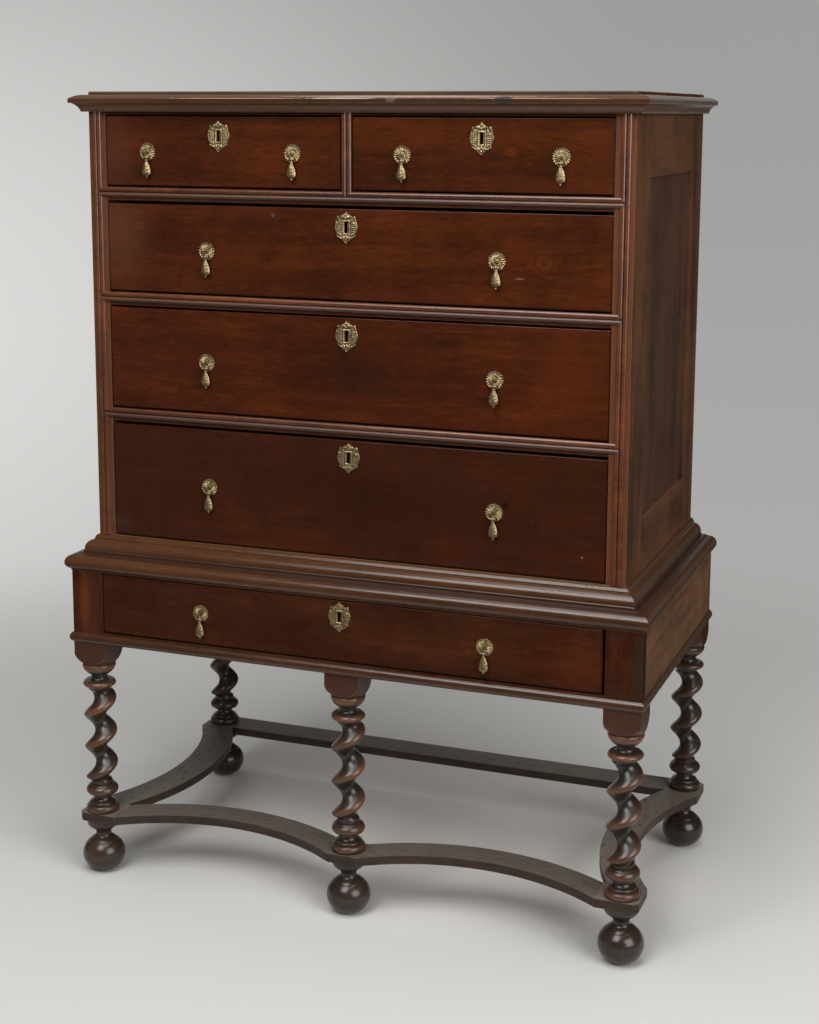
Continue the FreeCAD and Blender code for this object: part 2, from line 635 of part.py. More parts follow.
def rosette():
    """Scalloped, domed back plate with the two ears and the pin that carry the drop."""
    steps = []
    dip = ROSETTE_R - 1.2
    turn = 2 * math.pi / ROSETTE_LOBES
    for i in range(ROSETTE_LOBES):
        middle, end = (i + 0.5) * turn, (i + 1) * turn
        steps.append(((ROSETTE_R * math.sin(middle), ROSETTE_R * math.cos(middle)),
                      (dip * math.sin(end), dip * math.cos(end)) if i < ROSETTE_LOBES - 1
                      else (0.0, dip)))
    plate = Part.Face(outline((0.0, dip), steps, lambda x, z: V(x, 0, z)))
    plate = plate.extrude(V(0, -ROSETTE_PLATE, 0))
    cap_r = (ROSETTE_DOME_R ** 2 + ROSETTE_DOME ** 2) / (2 * ROSETTE_DOME)
    dome = Part.makeSphere(cap_r, V(0, cap_r - ROSETTE_DOME - ROSETTE_PLATE, 0))
    dome = dome.common(box(-20, 20, -ROSETTE_PLATE - 5, -ROSETTE_PLATE, -20, 20))
    ears = []
    for x in (-EAR_OUT, EAR_IN):
        arm = box(x, x + EAR_OUT - EAR_IN, -PIVOT_OUT, 0, -PIVOT_DOWN - EAR_R, -PIVOT_DOWN + EAR_R)
        end = Part.makeCylinder(EAR_R, EAR_OUT - EAR_IN, V(x, -PIVOT_OUT, -PIVOT_DOWN), V(1, 0, 0))
        ears += [arm, end]
    pin = Part.makeCylinder(PIN_R, 2 * EAR_OUT, V(-EAR_OUT, -PIVOT_OUT, -PIVOT_DOWN), V(1, 0, 0))
    return fused([plate, dome] + ears + [pin])


def drop():
    """Teardrop pull: an eye on the pin, a neck with a collar, a flattened body and a tip."""
    profile = turned((0, 0), [((2.2, 0),), ((2.2, -4.4),), ((3.0, -5.4), (2.6, -6.4)),
                              ((3.3, -8.0),), ((6.2, -16.5), (8.0, -24.0)),
                              ((6.4, -29.2), (2.0, -32.0)), ((1.4, -32.8),),
                              ((2.0, -34.2), (0, -35.6))])
    flatten = FreeCAD.Matrix()
    flatten.scale(V(1, DROP_FLATTEN, 1))
    body = profile.transformGeometry(flatten)
    eye = Part.makeCylinder(EYE_R, 2 * EYE_HALF, V(-EYE_HALF, 0, 0), V(1, 0, 0))
    bore = Part.makeCylinder(PIN_R + PIN_CLEARANCE, 20, V(-10, 0, 0), V(1, 0, 0))
    return fused([body, eye]).cut(bore)


def escutcheon():
    """Cast plate with scrolled edge, eared shoulders, a raised frame and nail holes."""
    right = [(2.3, 23.4), (6.8, 22.0), (11.4, 18.5), (13.1, 17.4), (15.4, 19.9), (17.1, 15.9),
             (18.5, 9.7), (20.8, 3.4), (20.0, -2.9), (17.5, -9.2), (16.0, -11.6), (16.8, -14.5),
             (14.6, -17.2), (10.8, -17.9), (8.9, -20.8), (4.6, -21.4), (2.7, -24.1)]
    left = [(-x, z) for x, z in reversed(right)]
    corners = [V(x, 0, z) for x, z in [(0.0, 26.1)] + right + [(0.0, -26.1)] + left]
    plate = Part.Face(Part.makePolygon(corners + corners[:1]))
    plate = plate.extrude(V(0, -ESCUTCHEON_THICK, 0))
    frame = box(-6.9, 6.9, -ESCUTCHEON_THICK - 1.4, -ESCUTCHEON_THICK, -11.8, 11.8)
    frame = frame.cut(box(-4.7, 4.7, -ESCUTCHEON_THICK - 2, -ESCUTCHEON_THICK + 1, -9.9, 9.9))
    whole = fused([plate, frame])
    holes = [Part.makeCylinder(0.9, 6, V(x, 1, 10.6), V(0, -1, 0)) for x in (-15.4, 15.4)]
    return cut(whole, holes)


def lock_case(drawer):
    """The lock on the back of the drawer front, with the channel that its bolt runs in."""
    x, y = drawer.key_x, drawer.front_y + FRONT_THICK
    z1 = drawer.top - LOCK_BELOW_TOP
    body = box(x - LOCK_HALF, x + LOCK_HALF, y, y + LOCK_THICK, z1 - LOCK_HIGH, z1)
    half = BOLT_HALF + BOLT_CLEARANCE
    y0 = y + (LOCK_THICK - BOLT_THICK) / 2
    channel = box(x - half, x + half, y0 - BOLT_CLEARANCE, y0 + BOLT_THICK + BOLT_CLEARANCE,
                  z1 - BOLT_LONG - BOLT_CLEARANCE, z1 + 1)
    return body.cut(channel)


def lock_bolt(drawer):
    """The bolt, drawn back in its channel; it lifts to lock the drawer."""
    x, y = drawer.key_x, drawer.front_y + FRONT_THICK
    z1 = drawer.top - LOCK_BELOW_TOP
    y0 = y + (LOCK_THICK - BOLT_THICK) / 2
    return box(x - BOLT_HALF, x + BOLT_HALF, y0, y0 + BOLT_THICK, z1 - BOLT_LONG, z1)


def export_drawer(drawer):
    """All nodes of one drawer."""
    name = drawer.name + "_drawer"
    y = drawer.front_y
    plate = moved(escutcheon(), drawer.key_x, y, drawer.key_z).cut(keyhole(drawer))
    brasses = [moved(rosette(), x, y, drawer.pull_z) for x in drawer.pull_xs]
    export(name + "_front", [drawer_front(drawer)])
    export(name + "_box", drawer_box(drawer))
    export(name + "_brasses", brasses + [plate, lock_case(drawer)])
    export(name + "_bolt", [lock_bolt(drawer)])
    for side, x in zip(("left", "right"), drawer.pull_xs):
        pull = moved(drop(), x, y - PIVOT_OUT, drawer.pull_z - PIVOT_DOWN)
        export("%s_%s_drop" % (name, side), [pull])


def main():
    """Build and write every node."""
    os.makedirs("parts", exist_ok=True)
    export("top_board", [top_board()])
    export("cornice_moulding", cornice())
    right_frame = side_frame()
    export("right_side_frame", right_frame)
    export("left_side_frame", [mirrored(piece) for piece in right_frame])
    export("side_panels", [side_panel(), mirrored(side_panel())])
    export("case_rails", case_rails())
    export("case_beads", case_beads())
    export("case_runners", case_runners())
    export("case_bottom", case_bottom())
    export("case_back", case_back())
    export("waist_moulding", waist_mouldings())
    export("stand_front", stand_front())
    export("stand_sides", stand_sides())
    export("stand_bead", lower_bead())
    export("stand_runners", stand_runners())
    for name, x, y, start_angle in LEGS:
        export(name, [moved(leg(start_angle), x, y)])
    export("front_stretchers", front_stretchers())
    export("side_stretchers", [side_stretcher(), mirrored(side_stretcher())])
    export("rear_stretcher", [rear_stretcher()])
    export("ball_feet", [moved(foot(), x, y) for _, x, y, _ in LEGS])
    for drawer in DRAWERS:
        export_drawer(drawer)


main()
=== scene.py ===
"""Finish, brasses, turned legs, lamps and camera of a high chest of drawers on a twist-legged stand.

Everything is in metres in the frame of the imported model: +Z up, the floor at z = 0, the front facing -Y.
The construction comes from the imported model; this script dresses it and adds the turned and cast pieces.
"""
from __future__ import annotations

import json
import logging
import math
from dataclasses import dataclass, field
from enum import Enum
from typing import Any, Callable, Iterable, Mapping, Sequence

import bmesh
import bpy
from mathutils import Matrix, Vector

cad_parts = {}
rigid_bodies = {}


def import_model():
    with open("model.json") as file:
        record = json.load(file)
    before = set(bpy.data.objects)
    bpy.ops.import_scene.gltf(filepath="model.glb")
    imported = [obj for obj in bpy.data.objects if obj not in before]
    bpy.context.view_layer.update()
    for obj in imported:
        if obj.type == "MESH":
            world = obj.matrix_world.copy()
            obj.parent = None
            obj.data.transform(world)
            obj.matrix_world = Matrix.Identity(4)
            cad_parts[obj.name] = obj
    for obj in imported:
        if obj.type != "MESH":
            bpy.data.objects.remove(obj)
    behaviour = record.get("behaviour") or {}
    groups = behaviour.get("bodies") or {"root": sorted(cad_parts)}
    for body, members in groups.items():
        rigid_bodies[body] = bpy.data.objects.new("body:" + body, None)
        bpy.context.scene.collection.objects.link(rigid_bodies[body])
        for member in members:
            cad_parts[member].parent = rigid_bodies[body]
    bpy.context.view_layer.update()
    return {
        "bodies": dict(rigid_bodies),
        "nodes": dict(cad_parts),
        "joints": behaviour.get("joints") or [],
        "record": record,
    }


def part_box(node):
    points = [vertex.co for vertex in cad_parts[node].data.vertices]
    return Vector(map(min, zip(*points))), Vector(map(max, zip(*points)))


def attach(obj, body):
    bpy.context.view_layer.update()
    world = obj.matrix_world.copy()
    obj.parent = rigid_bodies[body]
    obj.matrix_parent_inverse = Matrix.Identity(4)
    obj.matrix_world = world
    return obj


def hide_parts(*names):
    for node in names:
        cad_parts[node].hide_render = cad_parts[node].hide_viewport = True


log = logging.getLogger("highboy")

MM = 0.001
SAME = 0.001 * MM         # points nearer than this are one point
TINY = 1e-6               # keeps a division from meeting zero
SHARP = 0.1 * MM          # the width of a sharp step from one pattern to the next
EDGE_REACH = 1.6 * MM     # how far from an edge wood is rubbed
CORNER_REACH = 9 * MM     # how far out of a corner grime and painted shade reach
CHAMFER = 0.5             # the chamfer of a small turned part, in millimetres

Colour = tuple[float, float, float, float]
Point2 = tuple[float, float]


def ink(red: int, green: int, blue: int) -> Colour:
    """A colour as shaders use it.

    Args:
        red: its red as a screen value from 0 to 255.
        green: its green.
        blue: its blue.

    Returns:
        The linear colour.
    """
    def linear(level: int) -> float:
        """One channel by the usual screen curve."""
        part = level / 255
        return part / 12.92 if part <= 0.04045 else ((part + 0.055) / 1.055) ** 2.4
    return linear(red), linear(green), linear(blue), 1.0


# ------------------------------------------------------------------ node tools
class Value:
    """A number in a node tree; arithmetic on it adds Math nodes."""

    def __init__(self, nodes: "Nodes", socket: bpy.types.NodeSocket) -> None:
        """Wraps one output socket of a tree."""
        self.nodes = nodes
        self.socket = socket

    def math(self, operation: str, first: Any, second: Any = None) -> "Value":
        """One Math node.

        Args:
            operation: the Math node's operation.
            first: the first operand, a Value or a number.
            second: the second operand, where the operation has one.

        Returns:
            The result as a new Value.
        """
        operands = {i: v for i, v in enumerate((first, second)) if v is not None}
        return self.nodes.value("ShaderNodeMath", {"operation": operation}, operands)

    def __add__(self, other: Any) -> "Value":
        """Sum."""
        return self.math("ADD", self, other)

    __radd__ = __add__

    def __sub__(self, other: Any) -> "Value":
        """Difference."""
        return self.math("SUBTRACT", self, other)

    def __rsub__(self, other: Any) -> "Value":
        """Difference from a plain number."""
        return self.math("SUBTRACT", other, self)

    def __mul__(self, other: Any) -> "Value":
        """Product."""
        return self.math("MULTIPLY", self, other)

    __rmul__ = __mul__

    def __truediv__(self, other: Any) -> "Value":
        """Quotient."""
        return self.math("DIVIDE", self, other)

    def __pow__(self, other: Any) -> "Value":
        """Power."""
        return self.math("POWER", self, other)

    def __abs__(self) -> "Value":
        """Size without sign."""
        return self.math("ABSOLUTE", self)

    def least(self, other: Any) -> "Value":
        """The smaller of two."""
        return self.math("MINIMUM", self, other)

    def most(self, other: Any) -> "Value":
        """The larger of two."""
        return self.math("MAXIMUM", self, other)

    def sine(self) -> "Value":
        """Sine of the value in radians."""
        return self.math("SINE", self)

    def cosine(self) -> "Value":
        """Cosine of the value in radians."""
        return self.math("COSINE", self)

    def root(self) -> "Value":
        """Square root."""
        return self.math("SQRT", self)

    def turn_to(self, other: "Value") -> "Value":
        """The angle of the point (other, self), in radians."""
        return self.math("ARCTAN2", self, other)

    def rise(self, low: float, high: float) -> "Value":
        """A smooth step from 0 to 1.

        Args:
            low: where it is 0.
            high: where it is 1, above low or below it.

        Returns:
            The step.
        """
        if low > high:
            return 1 - self.rise(high, low)
        return self.nodes.value("ShaderNodeMapRange", {"interpolation_type": "SMOOTHSTEP"},
                                {"Value": self, "From Min": low, "From Max": high})


class Nodes:
    """A node tree and the tools that add to it."""

    def __init__(self, tree: bpy.types.NodeTree) -> None:
        """Takes the tree to build in."""
        self.tree = tree

    def node(self, kind: str, settings: Mapping[str, Any] | None = None,
             inputs: Mapping[Any, Any] | None = None) -> bpy.types.Node:
        """Adds a node.

        Args:
            kind: the node's type name.
            settings: the node's own properties, set first.
            inputs: values, Values or sockets for its inputs, by name or index.

        Returns:
            The new node.
        """
        node = self.tree.nodes.new(kind)
        for key, setting in (settings or {}).items():
            setattr(node, key, setting)
        for key, given in (inputs or {}).items():
            self.plug(given, node.inputs[key])
        return node

    def plug(self, given: Any, socket: bpy.types.NodeSocket) -> None:
        """Links a Value or socket to a node's socket, or sets a plain value on it.

        Args:
            given: what goes in.
            socket: the socket that takes it.
        """
        source = given.socket if isinstance(given, Value) else given
        if isinstance(source, bpy.types.NodeSocket):
            self.tree.links.new(source, socket)
        else:
            socket.default_value = source

    def value(self, kind: str, settings: Mapping[str, Any] | None = None,
              inputs: Mapping[Any, Any] | None = None, output: Any = 0) -> Value:
        """The same as node, but returns one output as a Value."""
        return Value(self, self.node(kind, settings, inputs).outputs[output])

    def vector(self, x: Any, y: Any, z: Any) -> bpy.types.NodeSocket:
        """A vector from three values."""
        return self.node("ShaderNodeCombineXYZ", inputs={0: x, 1: y, 2: z}).outputs[0]

    def parts(self, vector: bpy.types.NodeSocket) -> tuple[Value, Value, Value]:
        """The three parts of a vector."""
        split = self.node("ShaderNodeSeparateXYZ", inputs={0: vector})
        return tuple(Value(self, output) for output in split.outputs)

    def mix(self, factor: Any, first: Any, second: Any) -> bpy.types.NodeSocket:
        """Mixes two colours by a factor from 0 to 1."""
        node = self.node("ShaderNodeMix", {"data_type": "RGBA", "clamp_factor": True},
                         {0: factor, 6: first, 7: second})
        return node.outputs[2]

    def blend(self, factor: Any, first: Any, second: Any) -> bpy.types.NodeSocket:
        """Mixes two vectors by a factor from 0 to 1."""
        node = self.node("ShaderNodeMix", {"data_type": "VECTOR", "clamp_factor": True},
                         {0: factor, 4: first, 5: second})
        return node.outputs[1]


class Shader(Nodes):
    """One material and the tools that build its nodes."""

    def __init__(self, name: str) -> None:
        """Makes an empty material with an output and a Principled surface.

        Args:
            name: the material's name.
        """
        self.material = bpy.data.materials.new(name)
        self.material.use_nodes = True
        super().__init__(self.material.node_tree)
        self.tree.nodes.clear()
        self.output = self.node("ShaderNodeOutputMaterial")
        self.surface = self.node("ShaderNodeBsdfPrincipled")
        self.tree.links.new(self.surface.outputs[0], self.output.inputs[0])
        self.coords = self.node("ShaderNodeTexCoord").outputs["Object"]
        self.axes = self.parts(self.coords)
        self.geometry = self.node("ShaderNodeNewGeometry")

    def attribute(self, name: str) -> Value:
        """A number stored on the mesh."""
        return self.value("ShaderNodeAttribute", {"attribute_name": name}, output="Fac")

    def noise(self, where: Any, scale: float, detail: float = 2.0, rough: float = 0.5,
              warp: float = 0.0) -> Value:
        """Smooth noise about 0.5.

        Args:
            where: the coordinates to read it at.
            scale: how many lumps to a unit of those coordinates.
            detail: how many finer layers it has.
            rough: how strong the finer layers are.
            warp: how far it is twisted by itself.

        Returns:
            The noise as a Value.
        """
        return self.value("ShaderNodeTexNoise", {"noise_dimensions": "3D"},
                          {"Vector": where, "Scale": scale, "Detail": detail, "Roughness": rough,
                           "Distortion": warp})

    def facing(self, way: tuple[float, float, float]) -> Value:
        """How squarely a surface faces one way: 1 when it does, 0 from about 60 degrees off."""
        towards = self.value("ShaderNodeVectorMath", {"operation": "DOT_PRODUCT"},
                             {0: self.geometry.outputs["Normal"], 1: way}, "Value")
        return towards.rise(0.5, 0.9)

    def edges(self, radius: float) -> Value:
        """How near a surface point is to an edge.

        Args:
            radius: how far an edge reaches, in metres.

        Returns:
            0 on flats, up to about 1 on a sharp edge.
        """
        rounded = self.node("ShaderNodeBevel", {"samples": 6}, {"Radius": radius}).outputs[0]
        along = self.value("ShaderNodeVectorMath", {"operation": "DOT_PRODUCT"},
                           {0: rounded, 1: self.geometry.outputs["Normal"]}, "Value")
        return (1 - along) * 6

    def hollows(self, reach: float) -> Value:
        """How enclosed a surface point is within reach: 0 in the open, 1 deep in a corner."""
        open_sky = self.node("ShaderNodeAmbientOcclusion", {"samples": 6}, {"Distance": reach})
        return 1 - Value(self, open_sky.outputs["AO"])

    def bump(self, height: Value, depth: float, strength: float = 1.0,
             under: Any = None) -> bpy.types.NodeSocket:
        """A normal tilted by a height.

        Args:
            height: the height, from 0 to 1.
            depth: how far 1 stands above 0, in metres.
            strength: how much of the tilt is used.
            under: another normal to add to.

        Returns:
            The normal socket.
        """
        inputs = {"Height": height, "Distance": depth, "Strength": strength}
        if under is not None:
            inputs["Normal"] = under
        return self.node("ShaderNodeBump", inputs=inputs).outputs[0]

    def finish(self, **sockets: Any) -> bpy.types.Material:
        """Sets the surface's sockets.

        Args:
            sockets: the sockets by name, with underscores for spaces.

        Returns:
            The material.
        """
        for name, given in sockets.items():
            self.plug(given, self.surface.inputs[name.replace("_", " ")])
        return self.material


class Tree(Nodes):
    """A Geometry Nodes tree with named inputs, and the way to grow a plain mesh from it."""

    def __init__(self, name: str) -> None:
        """Makes an empty tree that takes and gives geometry.

        Args:
            name: the tree's name.
        """
        super().__init__(bpy.data.node_groups.new(name, "GeometryNodeTree"))
        sockets = self.tree.interface
        sockets.new_socket("Geometry", in_out="INPUT", socket_type="NodeSocketGeometry")
        sockets.new_socket("Geometry", in_out="OUTPUT", socket_type="NodeSocketGeometry")
        self.start = self.node("NodeGroupInput")
        self.end = self.node("NodeGroupOutput")
        self.geometry = self.start.outputs[0]

    def size(self, name: str) -> Value:
        """Adds a named number to the inputs."""
        self.tree.interface.new_socket(name, in_out="INPUT", socket_type="NodeSocketFloat")
        return Value(self, self.start.outputs[name])

    def place(self) -> tuple[Value, Value, Value]:
        """Where each point is."""
        return self.parts(self.node("GeometryNodeInputPosition").outputs[0])

    def move(self, where: bpy.types.NodeSocket) -> None:
        """Moves the points to new places."""
        self.geometry = self.node("GeometryNodeSetPosition",
                                  inputs={"Geometry": self.geometry, "Position": where}).outputs[0]

    def store(self, name: str, value: Value) -> None:
        """Keeps a number on every point for the material to read."""
        kept = self.node("GeometryNodeStoreNamedAttribute", {"data_type": "FLOAT", "domain": "POINT"},
                         {"Geometry": self.geometry, "Name": name, "Value": value})
        self.geometry = kept.outputs[0]

    def close(self, material: bpy.types.Material) -> None:
        """Ends the tree in plain geometry.

        Args:
            material: the one material that it gets.
        """
        real = self.node("GeometryNodeRealizeInstances", inputs={0: self.geometry}).outputs[0]
        painted = self.node("GeometryNodeSetMaterial", inputs={"Geometry": real, "Material": material})
        self.tree.links.new(painted.outputs[0], self.end.inputs[0])

    def grow(self, blank: bpy.types.Mesh, sizes: Mapping[str, float]) -> bpy.types.Mesh:
        """Runs the tree on a mesh.

        Args:
            blank: the mesh that the tree starts from.
            sizes: the values of the named inputs.

        Returns:
            The result as a plain mesh.
        """
        holder = bpy.data.objects.new("holder", blank)
        bpy.context.scene.collection.objects.link(holder)
        modifier = holder.modifiers.new("tree", "NODES")
        modifier.node_group = self.tree
        for item in self.tree.interface.items_tree:
            if item.in_out == "INPUT" and item.name in sizes:
                modifier[item.identifier] = sizes[item.name]
        graph = bpy.context.evaluated_depsgraph_get()
        mesh = bpy.data.meshes.new_from_object(holder.evaluated_get(graph), depsgraph=graph)
        holder.modifiers.remove(modifier)
        bpy.data.objects.remove(holder)
        bpy.data.meshes.remove(blank)
        return mesh


# ------------------------------------------------------------------ finishes
class Grain(Enum):
    """The way that a board's grain runs, as an axis index."""

    WIDTH = 0
    DEPTH = 1
    HEIGHT = 2


@dataclass(frozen=True)
class Layer:
    """One layer of the pattern of wood.

    Attributes:
        length: how many lumps it has to the metre along the grain.
        across: how many it has across the grain.
        detail: how many finer layers it carries.
        rough: how strong those are.
        warp: how far it is twisted by itself.
    """

    length: float
    across: float
    detail: float
    rough: float = 0.5
    warp: float = 0.0


WALNUT_LAYERS: Mapping[str, Layer] = {
    "broad": Layer(1.3, 9.0, 4.0, 0.55, 0.9),
    "streak": Layer(3.0, 60.0, 3.0, 0.6, 0.3),
    "fibre": Layer(22.0, 900.0, 2.0, 0.6),
    "pores": Layer(90.0, 1900.0, 1.0),
    "ripple": Layer(34.0, 7.0, 2.0, 0.5, 0.6),
    "fleck": Layer(40.0, 170.0, 4.0, 0.65, 0.3),
}


@dataclass(frozen=True)
class Pattern:
    """The drawn layers of one board, as values from 0 to 1.

    Attributes:
        broad: wide bands of light and dark.
        streak: narrow streaks.
        fibre: fine fibres.
        pores: 1 in the open pores.
        ripple: ripples across the grain.
        fleck: short flecks.
        mottle: clouds that follow no grain.
        dents: 1 in small dents.
    """

    broad: Value
    streak: Value
    fibre: Value
    pores: Value
    ripple: Value
    fleck: Value
    mottle: Value
    dents: Value


@dataclass(frozen=True)
class Mark:
    """A blemish seen from the front: a knot, a filled hole, a bruise or a wide soft stain; on the mouldings
    and at some drawer ends a band of painted shade, painted sheen or painted highlight instead.

    Attributes:
        x: its middle, in metres.
        z: its middle, in metres.
        across: half its width, in metres.
        high: half its height, in metres.
        colour: its colour.
        strength: how much of that colour shows.
        soft: the part of its size over which it fades.
        matt: how much rougher than the polish it is.
    """

    x: float
    z: float
    across: float
    high: float
    colour: Colour
    strength: float = 0.7
    soft: float = 0.55
    matt: float = 0.0


@dataclass(frozen=True)
class Facing:
    """The colour of the faces of a board that look one way.

    Attributes:
        way: the direction that they look in.
        colour: their colour.
        strength: how much of that colour shows.
        nearest: the depth behind which faces keep the board's own colour, in metres.
    """

    way: tuple[float, float, float]
    colour: Colour
    strength: float = 0.8
    nearest: float = 9.0


@dataclass(frozen=True)
class Walnut:
    """Old polished walnut.

    Attributes:
        name: the material's name.
        grain: the way that the grain runs.
        body: the main colour.
        deep: the colour of dark streaks and hollows.
        warm: the colour of light streaks.
        worn: the colour of rubbed edges.
        grime: the colour of grime in hollows; it also paints the shade in hollows and the shadow of the gap
            round a drawer front.
        facings: the colours of faces that look one way, where they differ.
        frame: two depths and two heights; between those depths, above and below, the grain runs in depth.
        mitre: how far the outer corner of a moulding lies out, less how far it lies forward, in metres.
        rim: the left, right and lower edge of a board, in metres, along which a dark outline is painted as
            the shadow of the gap.
        seed: moves the pattern, so that no two boards match.
        polish: roughness of the polish.
        sheen: how strongly the polish mirrors.
        wear: how strongly edges are rubbed light.
        dirt_and_shade: how strongly hollows are darkened, with grime and painted shade.
        figure: how strong the pattern of the wood is.
        turned: whether the mesh carries the crests of a turning.
        rear: the depths between which a turning's crests grow less worn, in metres; this leaves the rear legs
            darker, partly as painted shade.
        marks: single blemishes, and bands of painted light and shade.
    """

    name: str
    grain: Grain = Grain.WIDTH
    body: Colour = ink(69, 31, 14)
    deep: Colour = ink(48, 22, 11)
    warm: Colour = ink(90, 41, 17)
    worn: Colour = ink(150, 90, 52)
    grime: Colour = ink(18, 11, 8)
    facings: tuple[Facing, ...] = ()
    frame: tuple[float, float, float, float] | None = None
    mitre: float | None = None
    rim: tuple[float, float, float] | None = None
    seed: float = 0.0
    polish: float = 0.14
    sheen: float = 0.20
    wear: float = 0.5
    dirt_and_shade: float = 0.6
    figure: float = 1.0
    turned: bool = False
    rear: tuple[float, float] = (0.05, 0.15)
    marks: tuple[Mark, ...] = ()

    def along(self, s: Shader, layer: Layer) -> bpy.types.NodeSocket:
        """Coordinates squeezed along the grain, which turns on a rail and behind a mitre.

        Args:
            s: the shader.
            layer: the layer that they are for.

        Returns:
            The coordinates, in lumps of that layer.
        """
        where = self.squeezed(s, self.grain, layer)
        if self.frame is not None:
            return s.blend(self.rails(s), where, self.squeezed(s, Grain.DEPTH, layer))
        if self.mitre is not None:
            beyond = self.past_mitre(s).rise(-SHARP, SHARP)
            return s.blend(beyond, where, self.squeezed(s, Grain.DEPTH, layer))
        return where

    def squeezed(self, s: Shader, grain: Grain, layer: Layer) -> bpy.types.NodeSocket:
        """The same for grain that runs one way all over.

        Args:
            s: the shader.
            grain: the way that it runs.
            layer: the layer that they are for.

        Returns:
            The coordinates, in lumps of that layer.
        """
        scales = [layer.across, layer.across, layer.across]
        scales[grain.value] = layer.length
        x, y, z = s.axes
        return s.vector(x * scales[0] + self.seed, y * scales[1] + self.seed * 0.7, z * scales[2] - self.seed)

    def past_mitre(self, s: Shader) -> Value:
        """How far a point lies behind the mitre between the front and a side, in metres."""
        x, y, _ = s.axes
        return abs(x) + y - self.mitre

    def rails(self, s: Shader) -> Value:
        """Where the rails of a framed side are.

        Args:
            s: the shader.

        Returns:
            1 on the rails, 0 on the stiles.
        """
        front, back, _, _ = self.frame
        y = s.axes[1]
        return y.rise(front, front + SHARP) * y.rise(back, back - SHARP) * self.past_opening(s)

    def past_opening(self, s: Shader) -> Value:
        """Where a framed side runs on past its opening.

        Args:
            s: the shader.

        Returns:
            1 above and below the opening.
        """
        z = s.axes[2]
        _, _, low, high = self.frame
        return z.rise(low, low - SHARP) + z.rise(high, high + SHARP)

    def pattern(self, s: Shader) -> Pattern:
        """Draws the layers of the board's pattern.

        Args:
            s: the shader.

        Returns:
            The layers.
        """
        drawn = {name: s.noise(self.along(s, layer), 1.0, layer.detail, layer.rough, layer.warp)
                 for name, layer in WALNUT_LAYERS.items()}
        drawn["pores"] = drawn["pores"].rise(0.60, 0.74)
        return Pattern(mottle=s.noise(s.coords, 8.0, 4.0, 0.6, 0.4),
                       dents=s.noise(s.coords, 95.0, 1.0).rise(0.73, 0.80), **drawn)

    def wood(self, s: Shader, p: Pattern) -> bpy.types.NodeSocket:
        """The colour of the clean wood.

        Args:
            s: the shader.
            p: the board's pattern.

        Returns:
            The colour.
        """
        bands = p.broad * 0.55 + p.streak * 0.25 + p.mottle * 0.35 + p.ripple * 0.10
        tone = (bands - 0.625) * self.figure + 0.5
        colour = s.mix(tone.rise(0.34, 0.60), self.deep, self.body)
        colour = s.mix(tone.rise(0.54, 0.84), colour, self.warm)
        # Faces that look one way take their own colour: on the stretchers' tops dust with a painted sheen,
        # under the mouldings painted shade, on their right-facing sides a painted grey sheen, and on the side
        # frames' front edges the colour of the front.
        for facing in self.facings:
            near = s.axes[1].rise(facing.nearest, facing.nearest - 1 * MM)
            patchy = (p.mottle * 0.6 + 0.7) * facing.strength
            colour = s.mix(s.facing(facing.way) * near * patchy, colour, facing.colour)
        tints = ((p.fibre.rise(0.42, 0.70) * 0.16, self.warm),
                 (p.fleck.rise(0.50, 0.72) * 0.55 * self.figure, self.deep),
                 (p.fleck.rise(0.46, 0.28) * 0.30 * self.figure, self.warm),
                 (p.pores * 0.35, self.deep),
                 (p.dents * 0.5, self.deep))
        for share, tint in tints:
            colour = s.mix(share, colour, tint)
        return colour

    def lined(self, s: Shader, p: Pattern, colour: bpy.types.NodeSocket) -> bpy.types.NodeSocket:
        """Adds the dark lines where a board ends or meets another, and the painted shadow of the gap round a
        drawer front, made uneven like grime.

        Args:
            s: the shader.
            p: the board's pattern.
            colour: the colour of the wood.

        Returns:
            The colour with its lines.
        """
        if self.rim is not None:
            # Painted shadow of the gap round the board, made uneven like grime.
            colour = s.mix(self.outline(s) * (p.mottle * 0.8 + 0.4), colour, self.grime)
        if self.frame is not None:
            colour = s.mix(self.joints(s) * 0.6, colour, self.grime)
        if self.mitre is not None:
            colour = s.mix(abs(self.past_mitre(s)).rise(0.9 * MM, 0.3 * MM) * 0.7, colour, self.grime)
        return colour

    def aged(self, s: Shader, p: Pattern, colour: bpy.types.NodeSocket) -> bpy.types.NodeSocket:
        """Rubs the edges or crests light, and darkens the hollows with grime and painted shade.

        Args:
            s: the shader.
            p: the board's pattern.
            colour: the colour so far.

        Returns:
            The aged colour.
        """
        hollow = s.hollows(CORNER_REACH)
        if self.turned:
            crest = s.attribute("crest")
            near, far = self.rear
            # Crests are rubbed less towards the back, which also leaves the rear legs darker as painted
            # shade.
            rear_wear_and_shade = s.axes[1].rise(far, near) * 0.7 + 0.3
            rubbed = crest.rise(0.82, 1.02) * (p.mottle.rise(0.3, 0.7) * 0.8 + 0.3) * self.wear * rear_wear_and_shade
            # The hollows of a twist darken by their nearness to the axis: grime and painted shade.
            colour = s.mix(crest.rise(0.80, 0.45) * 0.8, colour, self.grime)
        else:
            edge = s.edges(EDGE_REACH) * (p.mottle + 0.55)
            rubbed = edge.rise(0.10, 0.75) * (1 - hollow.rise(0.35, 0.75)) * self.wear
        colour = s.mix(rubbed, colour, self.worn)
        # Grime and painted shade: the more enclosed a point is within CORNER_REACH, the darker it is.
        return s.mix(hollow.rise(0.30, 0.90) * self.dirt_and_shade, colour, self.grime)

